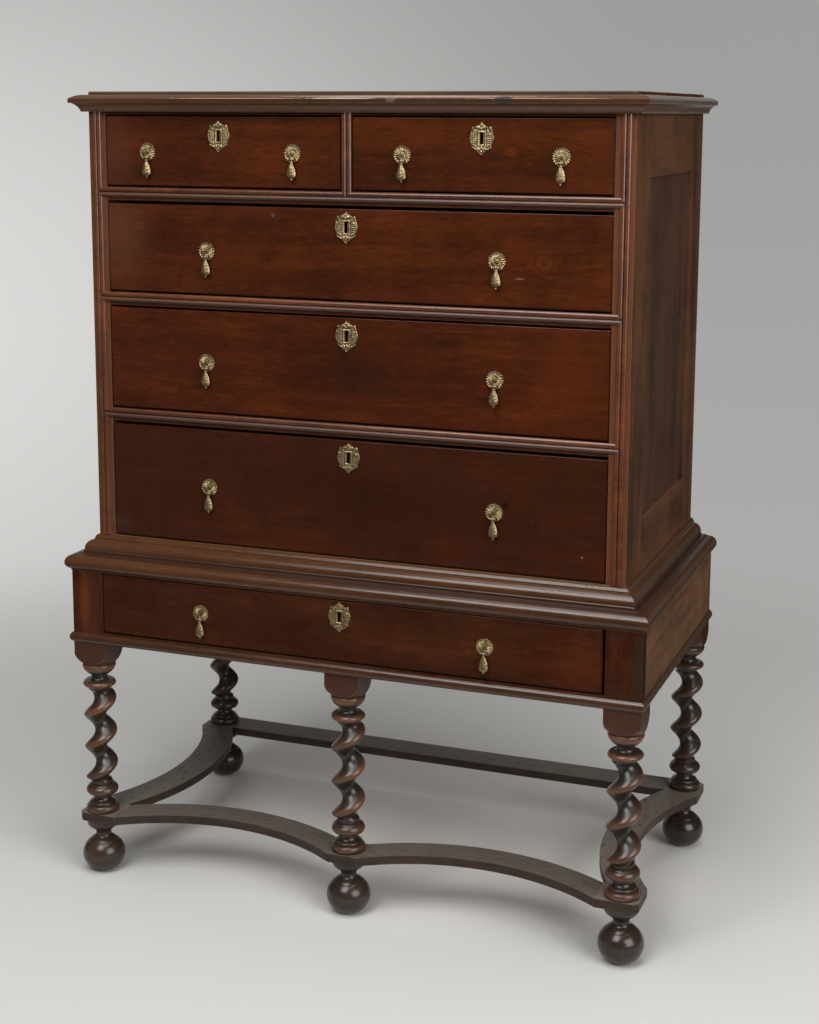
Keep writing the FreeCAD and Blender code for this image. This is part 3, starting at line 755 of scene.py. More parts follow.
    def build(self) -> bpy.types.Material:
        """Makes the material.

        Returns:
            The material.
        """
        s = Shader(self.name)
        p = self.pattern(s)
        colour = self.aged(s, p, self.lined(s, p, self.wood(s, p)))
        rough = p.mottle * 0.10 + p.pores * 0.2 + p.dents * 0.2 - p.streak * 0.05 + self.polish
        for mark in self.marks:
            there = self.blot(s, mark)
            colour = s.mix(there, colour, mark.colour)
            if mark.matt:
                rough = there * mark.matt + rough
        surface = p.fibre * 0.45 + p.ripple * 0.3 + p.streak * 0.25 - p.pores * 0.5
        normal = s.bump(surface, 0.10 * MM, 0.5, s.bump(p.mottle - p.dents * 0.6, 0.5 * MM, 0.35))
        return s.finish(Base_Color=colour, Roughness=rough, Normal=normal, Specular_IOR_Level=self.sheen)

    def outline(self, s: Shader) -> Value:
        """The outline of a board, along which the shadow of the gap round a drawer front is painted.

        Args:
            s: the shader.

        Returns:
            1 along its left, right and lower edge.
        """
        left, right, low = self.rim
        x, _, z = s.axes
        return (x - left).least(right - x).least(z - low).rise(3.4 * MM, 0.8 * MM)

    def joints(self, s: Shader) -> Value:
        """The joints of a framed side.

        Args:
            s: the shader.

        Returns:
            1 where its rails meet its stiles.
        """
        front, back, _, _ = self.frame
        y = s.axes[1]
        near = abs(y - front).least(abs(y - back)).rise(0.7 * MM, 0.2 * MM)
        return near * self.past_opening(s)

    def blot(self, s: Shader, mark: Mark) -> Value:
        """The strength of one blemish over the front.

        Args:
            s: the shader.
            mark: the blemish.

        Returns:
            How much of its colour shows.
        """
        x, _, z = s.axes
        wobble = (s.noise(s.coords, 240.0, 2.0) - 0.5) * 0.7
        across = (x - mark.x) / mark.across
        high = (z - mark.z) / mark.high
        reach = (across * across + high * high).root() + wobble
        return reach.rise(1.15, 1.15 - mark.soft) * mark.strength


@dataclass(frozen=True)
class Pine:
    """Bare secondary pine, oxidised, with saw marks.

    Attributes:
        name: the material's name.
        grain: the way that the grain runs.
        pale: the colour of early wood.
        dark: the colour of the rings.
        stained: the colour of stains.
        grime: the colour that corners are darkened to.
        ends: left and right limit, in metres; beyond them the grain runs in depth.
        length: how many bends of the rings there are to the metre along the grain.
        across: how many there are across it.
        rings: how many rings there are to a bend, in radians.
        seed: moves the pattern.
    """

    name: str
    grain: Grain = Grain.WIDTH
    pale: Colour = ink(150, 108, 66)
    dark: Colour = ink(104, 68, 38)
    stained: Colour = ink(74, 50, 33)
    grime: Colour = ink(40, 27, 18)
    ends: tuple[float, float] | None = None
    length: float = 0.9
    across: float = 16.0
    rings: float = 60.0
    seed: float = 0.0

    def squeezed(self, s: Shader, grain: Grain) -> bpy.types.NodeSocket:
        """Coordinates squeezed along the grain.

        Args:
            s: the shader.
            grain: the way that it runs.

        Returns:
            The coordinates.
        """
        scales = [self.across, self.across, self.across]
        scales[grain.value] = self.length
        x, y, z = s.axes
        return s.vector(x * scales[0] + self.seed, y * scales[1], z * scales[2] - self.seed)

    def build(self) -> bpy.types.Material:
        """Makes the material.

        Returns:
            The material.
        """
        s = Shader(self.name)
        where = self.squeezed(s, self.grain)
        if self.ends is not None:
            left, right = self.ends
            x = s.axes[0]
            beyond = x.rise(left, left - SHARP) + x.rise(right, right + SHARP)
            where = s.blend(beyond, where, self.squeezed(s, Grain.DEPTH))
        bend = s.noise(where, 0.8, 3.0, 0.5, 0.6)
        rings = ((bend * self.rings).sine() * 0.5 + 0.5) ** 3
        stain = s.noise(s.coords, 5.0, 4.0, 0.6, 0.5)
        saw = s.noise(s.coords, 160.0, 1.0)
        colour = s.mix(rings * 0.55 + stain * 0.2, self.pale, self.dark)
        colour = s.mix(stain.rise(0.52, 0.78) * 0.7, colour, self.stained)
        # Corners darken within 25 mm.
        colour = s.mix(s.hollows(25 * MM).rise(0.2, 0.9) * 0.6, colour, self.grime)
        normal = s.bump(rings * 0.4 + saw * 0.6, 0.3 * MM, 0.5)
        return s.finish(Base_Color=colour, Roughness=stain * 0.15 + 0.72, Normal=normal,
                        Specular_IOR_Level=0.25)


@dataclass(frozen=True)
class OldBrass:
    """Cast brass with a dull pale skin, brighter where hands and cloth reach it.

    Attributes:
        name: the material's name.
        bright: its colour where it is rubbed.
        dull: its colour where it is tarnished.
        grime: the colour of dirt in its hollows.
        skin: the roughness of the skin.
    """

    name: str = "old_brass"
    bright: Colour = ink(176, 156, 117)
    dull: Colour = ink(112, 95, 63)
    grime: Colour = ink(38, 27, 15)
    skin: float = 0.36

    def build(self) -> bpy.types.Material:
        """Makes the material.

        Returns:
            The material.
        """
        s = Shader(self.name)
        tarnish = s.noise(s.coords, 260.0, 4.0, 0.6, 0.4)
        grit = s.noise(s.coords, 1500.0, 3.0, 0.6)
        hollow = s.hollows(2.2 * MM)
        edge = s.edges(0.35 * MM)
        colour = s.mix(tarnish.rise(0.35, 0.70), self.bright, self.dull)
        colour = s.mix(edge.rise(0.1, 0.8) * 0.6, colour, self.bright)
        colour = s.mix(hollow.rise(0.25, 0.68) * 0.9, colour, self.grime)
        rough = tarnish * 0.22 + hollow.rise(0.3, 0.9) * 0.25 + self.skin
        normal = s.bump(grit * 0.6 + tarnish * 0.4, 0.12 * MM, 0.6)
        return s.finish(Base_Color=colour, Metallic=1.0 - hollow.rise(0.5, 0.95) * 0.5, Roughness=rough,
                        Normal=normal)


@dataclass(frozen=True)
class Iron:
    """Dull filed steel or hand-made iron.

    Attributes:
        name: the material's name.
        clean: its colour where it is bright.
        rust: the colour of rust.
        rusted: how much of it is rusted.
    """

    name: str = "lock_steel"
    clean: Colour = ink(128, 126, 122)
    rust: Colour = ink(74, 50, 36)
    rusted: float = 0.8

    def build(self) -> bpy.types.Material:
        """Makes the material.

        Returns:
            The material.
        """
        s = Shader(self.name)
        x, _, z = s.axes
        filed = s.noise(s.vector(x * 2400, 0.0, z * 60), 1.0, 2.0)
        rust = s.noise(s.coords, 180.0, 4.0, 0.6).rise(0.66 - self.rusted * 0.2, 0.68) * self.rusted
        colour = s.mix(rust, self.clean, self.rust)
        return s.finish(Base_Color=colour, Metallic=1.0 - rust * 0.8, Roughness=rust * 0.4 + 0.38,
                        Normal=s.bump(filed, 0.08 * MM, 0.5))


# ------------------------------------------------------------------ mesh tools
def arc(start: Point2, way: Point2, end: Point2, parts: int) -> list[Point2]:
    """The round stretch from start through way to end.

    Args:
        start: where it starts; this point isn't repeated in the result.
        way: a point on it.
        end: where it ends.
        parts: how many straight parts stand for it.

    Returns:
        The points after start, up to end.
    """
    (ax, ay), (bx, by), (cx, cy) = start, way, end
    twice = 2 * (ax * (by - cy) + bx * (cy - ay) + cx * (ay - by))
    squares = ax * ax + ay * ay, bx * bx + by * by, cx * cx + cy * cy
    mx = (squares[0] * (by - cy) + squares[1] * (cy - ay) + squares[2] * (ay - by)) / twice
    my = (squares[0] * (cx - bx) + squares[1] * (ax - cx) + squares[2] * (bx - ax)) / twice
    first, last = math.atan2(ay - my, ax - mx), math.atan2(cy - my, cx - mx)
    middle = math.atan2(by - my, bx - mx)
    full = 2 * math.pi
    sweep = (last - first) % full
    if (middle - first) % full > sweep:
        sweep -= full
    radius = math.hypot(ax - mx, ay - my)
    return [(mx + radius * math.cos(first + sweep * i / parts),
             my + radius * math.sin(first + sweep * i / parts)) for i in range(1, parts + 1)]


def profile(start: Point2, steps: Iterable[Sequence[Point2]], parts: int = 8) -> list[Point2]:
    """A profile of straight and round stretches.

    Args:
        start: its first point.
        steps: for each stretch its end, or a point on it and its end where it is round.
        parts: how many straight parts stand for a round stretch.

    Returns:
        All points.
    """
    points = [start]
    for step in steps:
        points += [step[0]] if len(step) == 1 else arc(points[-1], step[0], step[1], parts)
    return points


def skin(rings: Sequence[Sequence[Vector]]) -> bmesh.types.BMesh:
    """Joins rings of points by faces.

    Args:
        rings: rings with the same number of points, or of one point where the skin ends in a tip.

    Returns:
        The skin as a bmesh.
    """
    bm = bmesh.new()
    rows = [[bm.verts.new(point) for point in ring] for ring in rings]
    for low, high in zip(rows, rows[1:]):
        count = max(len(low), len(high))
        for i in range(count):
            j = (i + 1) % count
            corners = [low[i % len(low)], low[j % len(low)], high[j % len(high)], high[i % len(high)]]
            bm.faces.new([v for k, v in enumerate(corners) if v not in corners[:k]])
    return bm


def lathe(points: Sequence[Point2], segments: int,
          reach: Callable[[float, float, float], float] | None = None) -> bmesh.types.BMesh:
    """Turns a profile round +Z.

    Args:
        points: the profile as (radius, height) in millimetres, from bottom to top.
        segments: how many sides the turning has.
        reach: gives the real radius for an angle, a height and the turned radius.

    Returns:
        The turning as a bmesh, in metres.
    """
    rings = []
    for radius, height in points:
        ring = []
        for i in range(segments if radius > 0 else 1):
            angle = 2 * math.pi * i / segments
            real = reach(angle, height, radius) if reach and radius > 0 else radius
            ring.append(Vector((real * math.cos(angle), real * math.sin(angle), height)) * MM)
        rings.append(ring)
    return skin(rings)


def cast(bm: bmesh.types.BMesh, place: Matrix = Matrix.Identity(4), sharp: float = 40.0,
         outward: bool = True) -> bpy.types.Mesh:
    """Turns a bmesh into a smooth mesh.

    Args:
        bm: the bmesh, which is freed.
        place: where it goes.
        sharp: the angle from which an edge stays sharp, in degrees.
        outward: whether its faces are turned outward first.

    Returns:
        The mesh.
    """
    if outward:
        bmesh.ops.recalc_face_normals(bm, faces=bm.faces)
    bm.transform(place)
    mesh = bpy.data.meshes.new("mesh")
    bm.to_mesh(mesh)
    bm.free()
    mesh.shade_smooth()
    mesh.set_sharp_from_angle(angle=math.radians(sharp))
    return mesh


def joined(meshes: Iterable[bpy.types.Mesh]) -> bmesh.types.BMesh:
    """Joins meshes.

    Args:
        meshes: the meshes, which are removed.

    Returns:
        All of them as one bmesh.
    """
    bm = bmesh.new()
    for mesh in meshes:
        bm.from_mesh(mesh)
        bpy.data.meshes.remove(mesh)
    return bm


def piece(name: str, mesh: bpy.types.Mesh, body: str, slot: str, *replaced: str,
          material: bpy.types.Material | None = None) -> bpy.types.Object:
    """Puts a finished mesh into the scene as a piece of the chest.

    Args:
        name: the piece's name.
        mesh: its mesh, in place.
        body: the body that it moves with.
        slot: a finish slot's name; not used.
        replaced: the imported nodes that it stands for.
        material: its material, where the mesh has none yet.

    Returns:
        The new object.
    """
    mesh.name = name
    if material is not None:
        mesh.materials.clear()
        mesh.materials.append(material)
    made = bpy.data.objects.new(name, mesh)
    bpy.context.scene.collection.objects.link(made)
    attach(made, body)
    if replaced:
        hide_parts(*replaced)
    log.info("%s: %d faces, moves with %s", name, len(mesh.polygons), body)
    return made


def dress(node: bpy.types.Object, material: bpy.types.Material) -> None:
    """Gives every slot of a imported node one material.

    Args:
        node: the node.
        material: the material.
    """
    for slot in node.material_slots:
        slot.material = material
    log.info("%s: %s", node.name, material.name)


# ------------------------------------------------------------------ turned legs
@dataclass
class TwistLegs:
    """The five turned legs: base, rings, a single twist, a cup and a square block.

    Sizes are in millimetres and angles in degrees. A leg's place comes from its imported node.

    Attributes:
        starts: the angle of each leg's twist at the floor.
        pitch: the height of one turn of the twist.
        low: where the twist starts.
        high: where it ends.
        core: the radius of its round section.
        end_core: the radius of the turning at both ends.
        throw: how far the section is carried off the axis.
        run_in: the height over which the throw grows.
        block_foot: the underside of the square block.
        block_top: the top of the block.
        half: half the block's side.
        segments: how many sides the turning has.
        ring: the height of one ring of the blank in the twist.
        block_crest: how worn the block is, where 1 is the crest of the twist.
    """

    starts: Mapping[str, float]
    pitch: float = 62.5
    low: float = 176.0
    high: float = 359.0
    core: float = 20.4
    end_core: float = 19.6
    throw: float = 9.7
    run_in: float = 10.0
    block_foot: float = 409.5
    block_top: float = 453.0
    half: float = 32.0
    segments: int = 96
    ring: float = 2.0
    block_crest: float = 0.72

    def outline(self) -> list[Point2]:
        """The profile of the blank, peg and tenon included.

        Returns:
            Its points, as radius and height.
        """
        peg_foot, peg, base, tenon, tenon_top = 82.0, 9.0, 117.5, 12.0, 470.0
        points = profile((0.0, peg_foot), (
            ((peg, peg_foot),), ((peg, base),), ((27.5, base),), ((30.5, 124.0), (27.0, 130.5)),
            ((24.0, 131.2),), ((24.6, 134.0), (23.0, 136.5)), ((17.8, 139.5), (15.6, 146.0)),
            ((15.6, 149.5),), ((24.0, 151.5),), ((28.0, 154.3), (29.8, 160.0)),
            ((28.6, 163.8), (23.6, 168.8)), ((21.8, 170.6), (19.0, 171.2)), ((19.0, 173.0),),
            ((self.end_core, self.low),)))
        tall = self.high - self.low
        rings = round(tall / self.ring)
        points += [(self.end_core, self.low + tall * i / rings) for i in range(1, rings + 1)]
        points += profile(points.pop(), (
            ((21.0, 361.8),), ((27.5, 363.2), (30.5, 368.0)), ((28.0, 372.2), (21.5, 374.0)),
            ((16.4, 376.0), (14.8, 381.0)), ((15.2, 384.5),), ((17.5, 386.0),),
            ((25.5, 391.8), (30.4, 400.5)), ((30.8, 403.6), (29.8, 406.4)), ((28.2, 407.4),),
            ((28.2, 408.4),), ((30.6, self.block_foot),)))
        shoulder = profile((30.6, self.block_foot), (((40.0, 417.5), (46.0, 440.0)),
                                                     ((46.0, self.block_top),)), parts=32)
        points += shoulder[1:]
        return points + [(tenon, self.block_top), (tenon, tenon_top), (0.0, tenon_top)]

    def squared(self, angle: float, height: float, radius: float) -> float:
        """The radius of the turning, cut off by the flats of the square block.

        Args:
            angle: the angle round the leg.
            height: the height on it.
            radius: its turned radius there.

        Returns:
            The radius of the blank.
        """
        if height <= self.block_foot:
            return radius
        return min(radius, self.half / max(abs(math.cos(angle)), abs(math.sin(angle))))

    def tree(self, material: bpy.types.Material) -> Tree:
        """The tree that carries the blank's section round its axis and stores its crests.

        Args:
            material: the finish of the legs.

        Returns:
            The tree.
        """
        t = Tree("twist")
        low, high, run_in = t.size("Low"), t.size("High"), t.size("Run In")
        pitch, start, throw, swell = t.size("Pitch"), t.size("Start"), t.size("Throw"), t.size("Swell")
        across, deep = t.size("Place X"), t.size("Place Y")
        x, y, z = t.place()
        run = ((z - low) / run_in).least((high - z) / run_in).least(1.0).most(0.0)
        ease = run * run * (3 - run * 2)
        angle = z * (2 * math.pi) / pitch + start
        grown = ease * swell + 1
        carried = ease * throw
        t.move(t.vector(x * grown + carried * angle.cosine(), y * grown + carried * angle.sine(), z))
        x, y, z = t.place()
        reach = (x * x + y * y).root()
        block = z.rise((self.block_foot - 1) * MM, (self.block_foot + 1) * MM)
        crest = reach / (self.core + self.throw) / MM
        t.store("crest", crest * (1 - block) + block * self.block_crest)
        t.move(t.vector(x + across, y + deep, z))
        t.close(material)
        return t

    def build(self, material: bpy.types.Material) -> None:
        """Makes all legs.

        Args:
            material: their finish.
        """
        tree = self.tree(material)
        for name, start in self.starts.items():
            low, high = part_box(name)
            blank = cast(lathe(self.outline(), self.segments, self.squared))
            mesh = tree.grow(blank, {
                "Low": self.low * MM, "High": self.high * MM, "Run In": self.run_in * MM,
                "Pitch": self.pitch * MM, "Start": math.radians(start), "Throw": self.throw * MM,
                "Swell": self.core / self.end_core - 1,
                "Place X": (low.x + high.x) / 2, "Place Y": (low.y + high.y) / 2})
            piece(name + "_turning", mesh, "carcase", "turned_walnut", name)


# ------------------------------------------------------------------ brasses
@dataclass
class Rosette:
    """A cast rosette: petals round a small boss, a toothed rim, two cheeks and a bar.

    Sizes are in millimetres.

    Attributes:
        petals: how many petals it has.
        petal_in: the radius at which they start.
        petal_out: the radius at which they end.
        petal_deep: the depth of the grooves between them.
        vein: how deep their veins are against the grooves.
        tooth: how far the teeth of the rim stand out.
        tooth_from: where the teeth start, from 0 at petal_in to 1 at petal_out.
        lean: how fast the teeth turn over the thickness of the rim, in radians.
        face: the heights between which the chasing of the face sets in.
        segments: how many sides the turning has.
        pit_down: how far the pit lies under the middle.
        pit: its radius.
        pit_deep: its depth.
        pivot_down: how far the pin lies under the middle.
        pivot_out: how far it stands in front of the drawer.
        pin: its radius.
        pin_half: half its length.
        cheek_in: how far the inner side of each cheek is from the middle.
        cheek_out: how far its outer side is.
        cheek_radius: the radius of its round end.
        cheek_root: half its height where it leaves the plate.
        cheek_edge: the width of its bevels.
        cheek_side: the size of its side faces against its whole.
    """

    petals: int = 20
    petal_in: float = 4.6
    petal_out: float = 13.2
    petal_deep: float = 1.1
    vein: float = 0.25
    tooth: float = 0.75
    tooth_from: float = 0.7
    lean: float = 0.5
    face: tuple[float, float] = (0.5, 1.2)
    segments: int = 200
    pit_down: float = 5.0
    pit: float = 2.3
    pit_deep: float = 1.9
    pivot_down: float = 10.0
    pivot_out: float = 6.6
    pin: float = 1.5
    pin_half: float = 5.8
    cheek_in: float = 2.6
    cheek_out: float = 5.0
    cheek_radius: float = 2.3
    cheek_root: float = 2.6
    cheek_edge: float = 0.35
    cheek_side: float = 0.86

    def outline(self) -> list[Point2]:
        """The profile of the plate, from the middle of its back to the middle of its boss."""
        return profile((0.0, 0.0), (
            ((14.2, 0.0),), ((14.8, 0.5), (14.9, 1.2)), ((14.5, 1.9), (13.6, 1.9)), ((12.4, 1.7),),
            ((11.2, 2.0),), ((10.0, 2.4),), ((8.8, 2.8),), ((7.6, 3.0),), ((6.4, 2.9),), ((5.2, 2.6),),
            ((4.6, 2.4),), ((3.4, 2.6), (1.8, 2.9)), ((0.8, 3.0), (0.0, 3.0))), parts=6)

    def tree(self, material: bpy.types.Material) -> Tree:
        """The tree that cuts the petals, the teeth of the rim and the pit into a plain turned plate.

        Args:
            material: the brass.

        Returns:
            The tree.
        """
        t = Tree("rosette")
        petals, deep = t.size("Petals"), t.size("Petal Depth")
        inner, outer = t.size("Petals From"), t.size("Petals To")
        tooth, lean = t.size("Tooth"), t.size("Lean")
        down, pit, pit_deep = t.size("Pit Down"), t.size("Pit"), t.size("Pit Depth")
        x, y, z = t.place()
        reach = (x * x + y * y).root()
        turn = y.turn_to(x) * petals
        along = (reach - inner) / (outer - inner)
        inside = along.most(0.0).least(1.0)
        dish = (inside * (1 - inside) * 4).root()
        groove = abs((turn * 0.5).sine()) ** 5
        veined = abs(turn.sine()) * self.vein
        rim = ((along - self.tooth_from).most(0.0) * 3).least(1.0)
        notch = (turn + z * lean).cosine() * tooth * rim
        grown = 1 + notch / reach.most(0.1 * MM)
        low, high = self.face
        front = z.rise(low * MM, high * MM)
        sunk = ((x * x + (y + down) * (y + down)).root() / pit).rise(1.0, 0.45) * pit_deep
        cut = (groove + veined) * dish * deep * front
        t.move(t.vector(x * grown, y * grown, z - cut + notch * front * 0.5 - sunk * front))
        t.close(material)
        return t

    def plate(self, tree: Tree) -> bpy.types.Mesh:
        """The chased plate, facing +Z."""
        return tree.grow(cast(lathe(self.outline(), self.segments), sharp=60), {
            "Petals": self.petals, "Petal Depth": self.petal_deep * MM, "Petals From": self.petal_in * MM,
            "Petals To": self.petal_out * MM, "Tooth": self.tooth * MM, "Lean": self.lean / MM,
            "Pit Down": self.pit_down * MM, "Pit": self.pit * MM, "Pit Depth": self.pit_deep * MM})

    def cheeks(self) -> list[bpy.types.Mesh]:
        """The two cheeks, in the frame of the chest with the rosette's middle at the origin.

        Returns:
            Their meshes.
        """
        out, down, radius = self.pivot_out, self.pivot_down, self.cheek_radius
        behind, neck, slope = -0.8, -3.0, 0.1
        outline = profile((behind, -down + self.cheek_root), (
            ((neck, -down + radius + slope),), ((-out, -down + radius),),
            ((-out - radius, -down), (-out, -down - radius)),
            ((neck, -down - radius - slope),), ((behind, -down - self.cheek_root),)))
        meshes = []
        for inner, outer in ((-self.cheek_out, -self.cheek_in), (self.cheek_in, self.cheek_out)):
            sections = ((inner, self.cheek_side), (inner + self.cheek_edge, 1.0),
                        (outer - self.cheek_edge, 1.0), (outer, self.cheek_side))
            rings = [[Vector((x, y * size, (z + down) * size - down)) * MM for y, z in outline]
                     for x, size in sections]
            middles = [sum(ring, Vector()) / len(ring) for ring in (rings[0], rings[-1])]
            meshes.append(cast(skin([[middles[0]]] + rings + [[middles[1]]])))
        return meshes

    def bar(self) -> bpy.types.Mesh:
        """The bar that the drop swings on, in the same frame.

        Returns:
            Its mesh.
        """
        pin, half, end = self.pin, self.pin_half, self.pin * 0.75
        turned = lathe([(0.0, -half), (end, -half), (pin, -half + CHAMFER), (pin, half - CHAMFER),
                        (end, half), (0.0, half)], 20)
        middle = Matrix.Translation(Vector((0, -self.pivot_out, -self.pivot_down)) * MM)
        return cast(turned, middle @ Matrix.Rotation(math.pi / 2, 4, "Y"))

    def mesh(self, tree: Tree, place: Vector) -> bpy.types.Mesh:
        """The whole rosette.

        Args:
            tree: the tree that chases its plate.
            place: its middle on the drawer's front.

        Returns:
            Its mesh.
        """
        plate = self.plate(tree)
        plate.transform(Matrix.Rotation(math.pi / 2, 4, "X"))
        parts = [plate] + self.cheeks() + [self.bar()]
        return cast(joined(parts), Matrix.Translation(place), 60, outward=False)


@dataclass
class Drop:
    """A teardrop pull: an eye, a necked and leaf-chased flattened body and a button.

    Sizes are in millimetres.

    Attributes:
        eye: the outer radius of the eye.
        eye_half: half its width.
        bore: the radius of its hole.
        flat: the depth of the body against its width.
        sides: how many facets it has.
        facet: how deep they are against its radius.
        leaf: how deep the ground beside the leaf is.
        leaf_half: how wide that ground is, in quarters of the body's round.
        vein: how strong the veins are against the ground.
        ripple: how high the veins stand by themselves.
        segments: how many sides the turning has.
        leaf_top: where the chasing starts.
        leaf_foot: where it ends.
        leaf_fade: the height over which it fades in.
    """

    eye: float = 2.5
    eye_half: float = 2.3
    bore: float = 1.55
    flat: float = 4.6 / 8.0
    sides: int = 8
    facet: float = 0.03
    leaf: float = 1.15
    leaf_half: float = 0.20
    vein: float = 0.55
    ripple: float = 0.22
    segments: int = 72
    leaf_top: float = -7.0
    leaf_foot: float = -32.5
    leaf_fade: float = 4.0

    def outline(self) -> list[Point2]:
        """The profile from the tip up to the eye."""
        return profile((0.0, -35.6), (
            ((1.5, -35.2), (2.0, -34.2)), ((1.8, -33.3), (1.4, -32.8)), ((2.0, -32.0),),
            ((6.7, -29.6), (8.0, -24.6)), ((6.7, -16.5), (3.3, -8.0)), ((2.6, -6.4),),
            ((3.0, -5.4), (2.2, -4.4)), ((2.2, -2.0),)), parts=14)

    def chased(self, angle: float, height: float, radius: float) -> float:
        """The radius of the body with its facets and the leaf on it.

        Args:
            angle: the angle round the body.
            height: the height on it.
            radius: its turned radius there.

        Returns:
            The radius of the casting.
        """
        near_end = min(self.leaf_top - height, height - self.leaf_foot)
        body = min(1.0, max(0.0, near_end / self.leaf_fade))
        if body <= 0:
            return radius
        down = (self.leaf_top - height) / (self.leaf_top - self.leaf_foot)
        side = abs((angle * 2 / math.pi) % 2 - 1)
        hollow = math.exp(-((side - 0.5) / self.leaf_half) ** 2) * math.sin(math.pi * min(1.0, down * 1.1))
        vein = math.cos(9 * math.pi * down + 5 * side) * self.vein
        facets = math.cos(self.sides * angle) * self.facet * radius
        return radius + body * (facets - self.leaf * hollow * (1 + vein) - self.ripple * vein)

    def mesh(self, pivot: Vector) -> bpy.types.Mesh:
        """The pull hanging from a pivot.

        Args:
            pivot: the middle of its eye.

        Returns:
            Its mesh.
        """
        body = lathe(self.outline() + [(0.0, -2.0)], self.segments, self.chased)
        bore, rim, half = self.bore, self.eye, self.eye_half
        eye = lathe([(bore, -half), (rim - CHAMFER, -half), (rim, -half + CHAMFER), (rim, half - CHAMFER),
                     (rim - CHAMFER, half), (bore, half), (bore, -half)], 28)
        bmesh.ops.remove_doubles(eye, verts=eye.verts, dist=SAME)
        whole = joined([cast(body, Matrix.Diagonal((1.0, self.flat, 1.0, 1.0)), 50),
                        cast(eye, Matrix.Rotation(math.pi / 2, 4, "Y"))])
        return cast(whole, Matrix.Translation(pivot), 50, outward=False)


@dataclass
class Escutcheon:
    """A cast key plate with ears, a raised frame, ribs and leaves.

    Sizes are in millimetres.

    Attributes:
        thick: the thickness of the plate.
        least: its thickness where it is thinnest.
        frame: half the width and half the height of the raised frame.
        frame_wide: half the width of its bar.
        frame_high: how far it stands out.
        recess: how far the ground inside it is sunk.
        swell: how far the ground outside it swells.
        swell_wide: how wide that swelling is.
        rib: the height and the pitch of the upright ribs.
        wave: the height of the waves across them and how fast they turn, in radians.
        leaf: how high the leaves above and below stand.
        leaves: how many veins they have in a turn, and how fast their rings turn, in radians.
        rim: how high the rim stands.
        rim_at: where it lies, from 0 at the keyhole to 1 at the edge.
        rim_wide: how wide it is on the same scale.
        fall: how far the edge falls away.
        fall_from: where that starts on the same scale.
        nails: how far the nail holes are from the keyhole, across and up.
        nail_radius: their radius.
        nail_deep: how deep they are.
        key_half: half the width of the keyhole's slot.
        key_low: where the slot ends below.
        key_eye: where the middle of its eye is.
        key_eye_radius: the radius of the eye.
        rings: how many rings of faces the plate has.
        crowd: how much closer the rings stand at the edge; 1 is even.
        step: the length of a face along the edge.
    """

    thick: float = 1.8
    least: float = 0.25
    frame: tuple[float, float] = (5.8, 10.9)
    frame_wide: float = 1.2
    frame_high: float = 0.9
    recess: float = 0.5
    swell: float = 0.9
    swell_wide: float = 11.0
    rib: tuple[float, float] = (0.22, 4.4)
    wave: tuple[float, float] = (0.16, 1.9)
    leaf: float = 0.5
    leaves: tuple[float, float] = (9.0, 0.9)
    rim: float = 0.5
    rim_at: float = 0.93
    rim_wide: float = 0.05
    fall: float = 1.1
    fall_from: float = 0.96
    nails: tuple[float, float] = (15.4, 10.6)
    nail_radius: float = 1.9
    nail_deep: float = 3.0
    key_half: float = 2.7
    key_low: float = -9.0
    key_eye: float = 6.3
    key_eye_radius: float = 3.3
    rings: int = 30
    crowd: float = 0.9
    step: float = 0.8

    def edge(self) -> list[Point2]:
        """The outline of the plate, once round from the top.

        Returns:
            Its points.
        """
        right = [(1.6, 26.0), (2.6, 25.0), (2.6, 23.6), (4.6, 23.2), (6.4, 22.2), (7.2, 20.8), (9.4, 20.2),
                 (11.0, 18.8), (12.6, 17.6), (14.0, 18.6), (15.2, 20.0), (16.8, 19.4), (17.3, 17.2),
                 (17.6, 14.4), (18.2, 12.0), (19.0, 9.0), (20.2, 5.6), (20.9, 2.4), (20.9, -0.6),
                 (20.2, -3.6), (19.0, -6.6), (17.6, -9.4), (16.4, -11.6), (17.4, -13.2), (17.0, -15.2),
                 (15.0, -16.8), (12.8, -16.6), (12.2, -18.6), (10.4, -20.0), (8.2, -19.8), (7.0, -21.6),
                 (4.8, -22.2), (3.4, -23.4), (2.6, -25.2), (1.4, -26.4)]
        left = [(-x, z) for x, z in reversed(right)]
        return [(0.0, 26.8)] + right + [(0.0, -27.0)] + left

    def stations(self) -> list[tuple[Point2, Point2]]:
        """Pairs of a point on the keyhole's edge and one on the plate's edge, once round.

        Returns:
            The pairs.
        """
        edge = self.edge()
        pairs = []
        for (ax, az), (bx, bz) in zip(edge, edge[1:] + edge[:1]):
            parts = max(1, math.ceil(math.hypot(bx - ax, bz - az) / self.step))
            for i in range(parts):
                x, z = ax + (bx - ax) * i / parts, az + (bz - az) * i / parts
                pairs.append((self.keyhole(x, z), (x, z)))
        return pairs

    def keyhole(self, x: float, z: float) -> Point2:
        """The point of the keyhole's edge in the direction of a point.

        Args:
            x: the point's place across.
            z: its place up.

        Returns:
            The point on the edge.
        """
        length = math.hypot(x, z)
        ux, uz = x / length, z / length
        slot = min(self.key_half / max(abs(ux), TINY),
                   (self.key_eye if uz > 0 else -self.key_low) / max(abs(uz), TINY))
        toward = uz * self.key_eye
        inside = toward * toward - self.key_eye ** 2 + self.key_eye_radius ** 2
        eye = toward + math.sqrt(inside) if inside > 0 else 0.0
        reach = max(slot, eye)
        return ux * reach, uz * reach

    def ornament(self, x: float, z: float) -> float:
        """The ribs beside the frame and the leaves above and below it.

        Args:
            x: the point's place across.
            z: its place up.

        Returns:
            Their height over the ground.
        """
        wide, high = self.frame
        if abs(z) < high - 1:
            (rib, pitch), (wave, turn) = self.rib, self.wave
            return rib * math.cos((abs(x) - wide) * 2 * math.pi / pitch) + wave * math.cos(z * turn)
        veins, turn = self.leaves
        fan = math.atan2(x, abs(z) - high + 4.0)
        return self.leaf * math.cos(fan * veins) * math.cos(math.hypot(x, abs(z) - 8) * turn)

